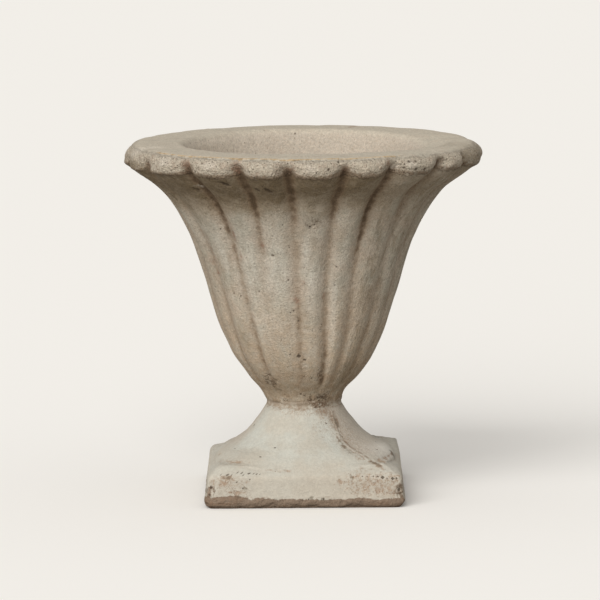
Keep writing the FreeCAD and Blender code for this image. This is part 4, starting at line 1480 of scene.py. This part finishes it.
# %% Finish: foot stone
FOOT_PALE = (0.52, 0.512, 0.447, 1)
FOOT_WARM = (0.49, 0.455, 0.380, 1)
FOOT_PINK = (0.46, 0.385, 0.305, 1)
PLINTH_WARM = (0.51, 0.445, 0.355, 1)
FOOT_EARTH = (0.205, 0.132, 0.084, 1)
NECK_EARTH = (0.27, 0.20, 0.135, 1)
NECK_DARK = (0.14, 0.11, 0.072, 1)
FOOT_BROWN = (0.20, 0.125, 0.078, 1)
FOOT_SCUFF = (0.36, 0.245, 0.165, 1)
FOOT_PAINTED_LIGHT = (0.68, 0.635, 0.555, 1)


def foot_finish():
    """Smooth greenish cream with worn corners, stains and run-down dirt."""
    tree, inputs, where = start_finish("foot_stone", 0.85, 0.25)
    cloud = cloud_layer(tree, where)
    edges, mottle = cloud(4.0, 0.25, 0.75), cloud(3.0, 0.32, 0.70)
    scuffs = cloud(3.5, 0.60, 0.72, stretched(tree, where, (0.12, 0.12, 1.0)))
    sand, coarse = effect(tree, SAND, where, Grain=0.7), effect(tree, SAND, where, Grain=1.6)
    specks = fade(tree, effect(tree, SAND, where, Grain=1.0)["Shade"], 0.60, 1.0)
    speckle = effect(tree, HOLES, where, Spacing=2.5, Share=0.6, Size=0.30)["Hole"]
    few_holes = effect(tree, HOLES, where, Spacing=10.0, Share=0.15, Size=0.12)["Hole"]
    ragged = torn_masks(tree, edges - 0.5, 0.7)

    side, neck_dirt = painted(tree, "plinth_side"), painted(tree, "neck_dirt")
    low_edge = ragged("low_edge", 0.30, 0.75, 0.6)
    corner = ragged("corner", 0.50, 1.1, 1.2)
    stain = ragged("stain", 0.20, 0.95, 0.9)
    speckled = ragged("speckled", 0.10, 0.90, 0.9)
    colour = layers(tree, blend(tree, cloud(40.0, 0.40, 0.66), FOOT_PALE, FOOT_WARM), [
        (painted(tree, "warm_side"), 0.62, FOOT_PINK),
        (cloud(9.0, 0.45, 0.75), 0.20, FOOT_PINK),
        (painted(tree, "low_skirt"), 0.35, PLINTH_WARM),
        (side, 0.40, PLINTH_WARM),
        # Painted light on the right spandrel.
        (painted(tree, "painted_light_on_foot"), 0.90, FOOT_PAINTED_LIGHT),
        (scuffs * side, 0.45, FOOT_SCUFF),
        (ragged("gutter", 0.45, 1.2), 0.55, FOOT_SCUFF),
        (fade(tree, neck_dirt, 0.0, 1.0), 0.60, NECK_EARTH),
        (fade(tree, neck_dirt, 0.1, 0.9) * fade(tree, coarse["Shade"], 0.25, 0.75), 0.65, FOOT_BROWN),
        (ragged("seam_dirt", 0.15, 0.9, 0.9), 0.75, FOOT_BROWN),
        (stain, 0.75, FOOT_SCUFF),
        (speckled * fade(tree, coarse["Shade"], 0.45, 0.80), 0.35, FOOT_SCUFF),
        (speckled * specks, 0.60, FOOT_BROWN),
        (speckled * speckle, 0.65, FOOT_BROWN),
        (speckle * fade(tree, painted(tree, "stain"), 0.05, 0.4), 0.75, FOOT_BROWN),
        (low_edge, 0.85, FOOT_EARTH),
        (corner, 0.55, FOOT_BROWN),
        (ragged("dark_stain", 0.10, 0.7, 0.6), 0.65, NECK_DARK),
        (speckle * low_edge, 0.6, FOOT_BROWN),
    ])
    colour = shade(tree, colour, mottle, 0.12)
    colour = shade(tree, colour, sand["Shade"], 0.10)
    # Pits painted dark: painted shade in the hollows, with dirt.
    pits = calc(tree, "MAXIMUM", few_holes, fade(tree, painted(tree, "pits"), 0.3, 0.8))
    blend(tree, pits * 0.85, colour, PIT_SHADE_AND_DIRT).into(inputs["Base Color"])
    bump(tree, inputs, relief([
        (sand["Height"], 0.30), (coarse["Height"], 0.35), (mottle, 0.18), (few_holes, -0.4), (stain, -0.3),
        (edges * calc(tree, "MAXIMUM", corner, low_edge), 1.2), (scuffs * side, -0.25)]))


foot_finish()
print("foot finish:", len(finishes["foot_stone"].node_tree.nodes), "nodes")


# %% [markdown]
# The mortar is coarse and brown. The two metal pieces are hardly seen: the pipe's end lies at the
# bottom of the bowl, dull grey with white zinc bloom, and the hoop is shut inside the rim, bare
# wire with a skin of rust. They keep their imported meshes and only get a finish.

# %% Finishes: mortar, pipe and hoop
MORTAR_BROWN = (0.37, 0.295, 0.220, 1)
MORTAR_PALE = (0.47, 0.42, 0.34, 1)
MORTAR_DARK = (0.19, 0.13, 0.085, 1)
ZINC_GREY = (0.46, 0.47, 0.48, 1)
ZINC_BLOOM = (0.66, 0.67, 0.66, 1)
WIRE_DARK = (0.13, 0.105, 0.09, 1)
WIRE_RUST = (0.30, 0.13, 0.055, 1)


def mortar_finish():
    """Coarse brown mortar, paler on its lower half and darker where it has broken."""
    tree, inputs, where = start_finish("mortar", 0.95, 0.2)
    patches = cloud_layer(tree, where)(5.0, 0.38, 0.62)
    sand = effect(tree, SAND, where, Grain=0.9)
    upper = fade(tree, painted(tree, "upper") + (patches - 0.5), -0.2, 0.9)
    layers(tree, blend(tree, upper, MORTAR_PALE, MORTAR_BROWN), [
        (patches, painted(tree, "broken") + 0.25, MORTAR_DARK),
        (fade(tree, sand["Shade"], 0.6, 1.0), 0.3, STONE_PALE),
    ]).into(inputs["Base Color"])
    bump(tree, inputs, sand["Height"] * 0.8)


def metal_finish(slot, clean, stained, roughness, stained_roughness, metallic, size):
    """Bare metal with stains, which are rougher and less metallic, and fine scratches."""
    tree, inputs, where = start_finish(slot, roughness, 0.5)
    cloud = cloud_layer(tree, where)
    stains = cloud(size, 0.42, 0.6)
    scratch = cloud(1.2, 0.3, 0.7, stretched(tree, where, (1.0, 1.0, 0.1)))
    blend(tree, stains, clean, stained).into(inputs["Base Color"])
    (stains * (stained_roughness - roughness) + roughness).into(inputs["Roughness"])
    ((1.0 - stains * 0.8) * metallic).into(inputs["Metallic"])
    bump(tree, inputs, stains * 0.08 + scratch * 0.03)


mortar_finish()
metal_finish("galvanised_steel", ZINC_GREY, ZINC_BLOOM, 0.42, 0.7, 0.9, 4.0)
metal_finish("steel_wire", WIRE_DARK, WIRE_RUST, 0.5, 0.9, 0.8, 3.0)
for node, slot in (("drain_pipe", "galvanised_steel"), ("rim_hoop", "steel_wire")):
    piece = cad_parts[node]
    piece.data.materials.clear()
    piece.data.materials.append(finishes[slot])
print("metal finishes on the pipe and the hoop")


# %% [markdown]
# The urn stands on a wide pale floor. Soft light comes from everywhere, and one large lamp stands
# high on the left in front, as in the photograph: the right side and the underside of the rim are
# in shade. The floor looks pale to the camera, but sends little light back up, as a dark studio
# floor would, and so the shade under the rim stays deep.

# %% Floor, lamps and world
FLOOR_REACH = 14.0
FLOOR_PALE = (0.955, 0.928, 0.88, 1)
FLOOR_BOUNCE = (0.30, 0.28, 0.25, 1)
SKY_COLOUR = (1.0, 0.99, 0.975, 1)
SKY_STRENGTH = 0.50
KEY_TURN = -25.0
KEY_RISE = 30.0
KEY_STRENGTH = 2.7
KEY_SOFTNESS = 55.0


def make_floor():
    """A wide floor that looks pale to the camera and sends little light back."""
    mesh = bpy.data.meshes.new("floor")
    corners = [(-1, -1), (1, -1), (1, 1), (-1, 1)]
    mesh.from_pydata([(x * FLOOR_REACH, y * FLOOR_REACH, 0.0) for x, y in corners], [], [(0, 1, 2, 3)])
    floor = stand("floor", mesh)
    material = bpy.data.materials.new("pale floor")
    material.use_nodes = True
    tree = material.node_tree
    tree.nodes.clear()
    seen = wire(tree, "ShaderNodeLightPath", output="Is Camera Ray")
    glossy = wire(tree, "ShaderNodeLightPath", output="Is Glossy Ray")
    colour = blend(tree, calc(tree, "MAXIMUM", seen, glossy), FLOOR_BOUNCE, FLOOR_PALE)
    shader = wire(tree, "ShaderNodeBsdfPrincipled", {
        "Base Color": colour, "Roughness": 1.0, "Specular IOR Level": 0.0})
    shader.into(tree.nodes.new("ShaderNodeOutputMaterial").inputs[0])
    mesh.materials.append(material)


def make_light():
    """Even light from the sky, and one large soft lamp."""
    world = bpy.data.worlds.new("studio")
    bpy.context.scene.world = world
    world.use_nodes = True
    back = world.node_tree.nodes["Background"]
    back.inputs["Color"].default_value = SKY_COLOUR
    back.inputs["Strength"].default_value = SKY_STRENGTH
    lamp = bpy.data.lights.new("key lamp", "SUN")
    lamp.energy = KEY_STRENGTH
    lamp.angle = math.radians(KEY_SOFTNESS)
    turn, rise = math.radians(KEY_TURN), math.radians(KEY_RISE)
    source = Vector((math.sin(turn) * math.cos(rise), -math.cos(turn) * math.cos(rise), math.sin(rise)))
    stand("key lamp", lamp).rotation_euler = source.to_track_quat("Z", "Y").to_euler()


make_floor()
make_light()
bpy.context.scene.view_settings.view_transform = "Standard"


# %% [markdown]
# Last, each finished piece is made to ride on the root body, and the imported node that it stands
# for is hidden.

# %% Ride and replace
for piece, node, slot in ((bowl, "bowl", "bowl_stone"), (foot, "foot", "foot_stone"),
                          (mortar, "neck_mortar", "mortar")):
    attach(piece, "root")
    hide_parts(node)
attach(crumbs, "root")
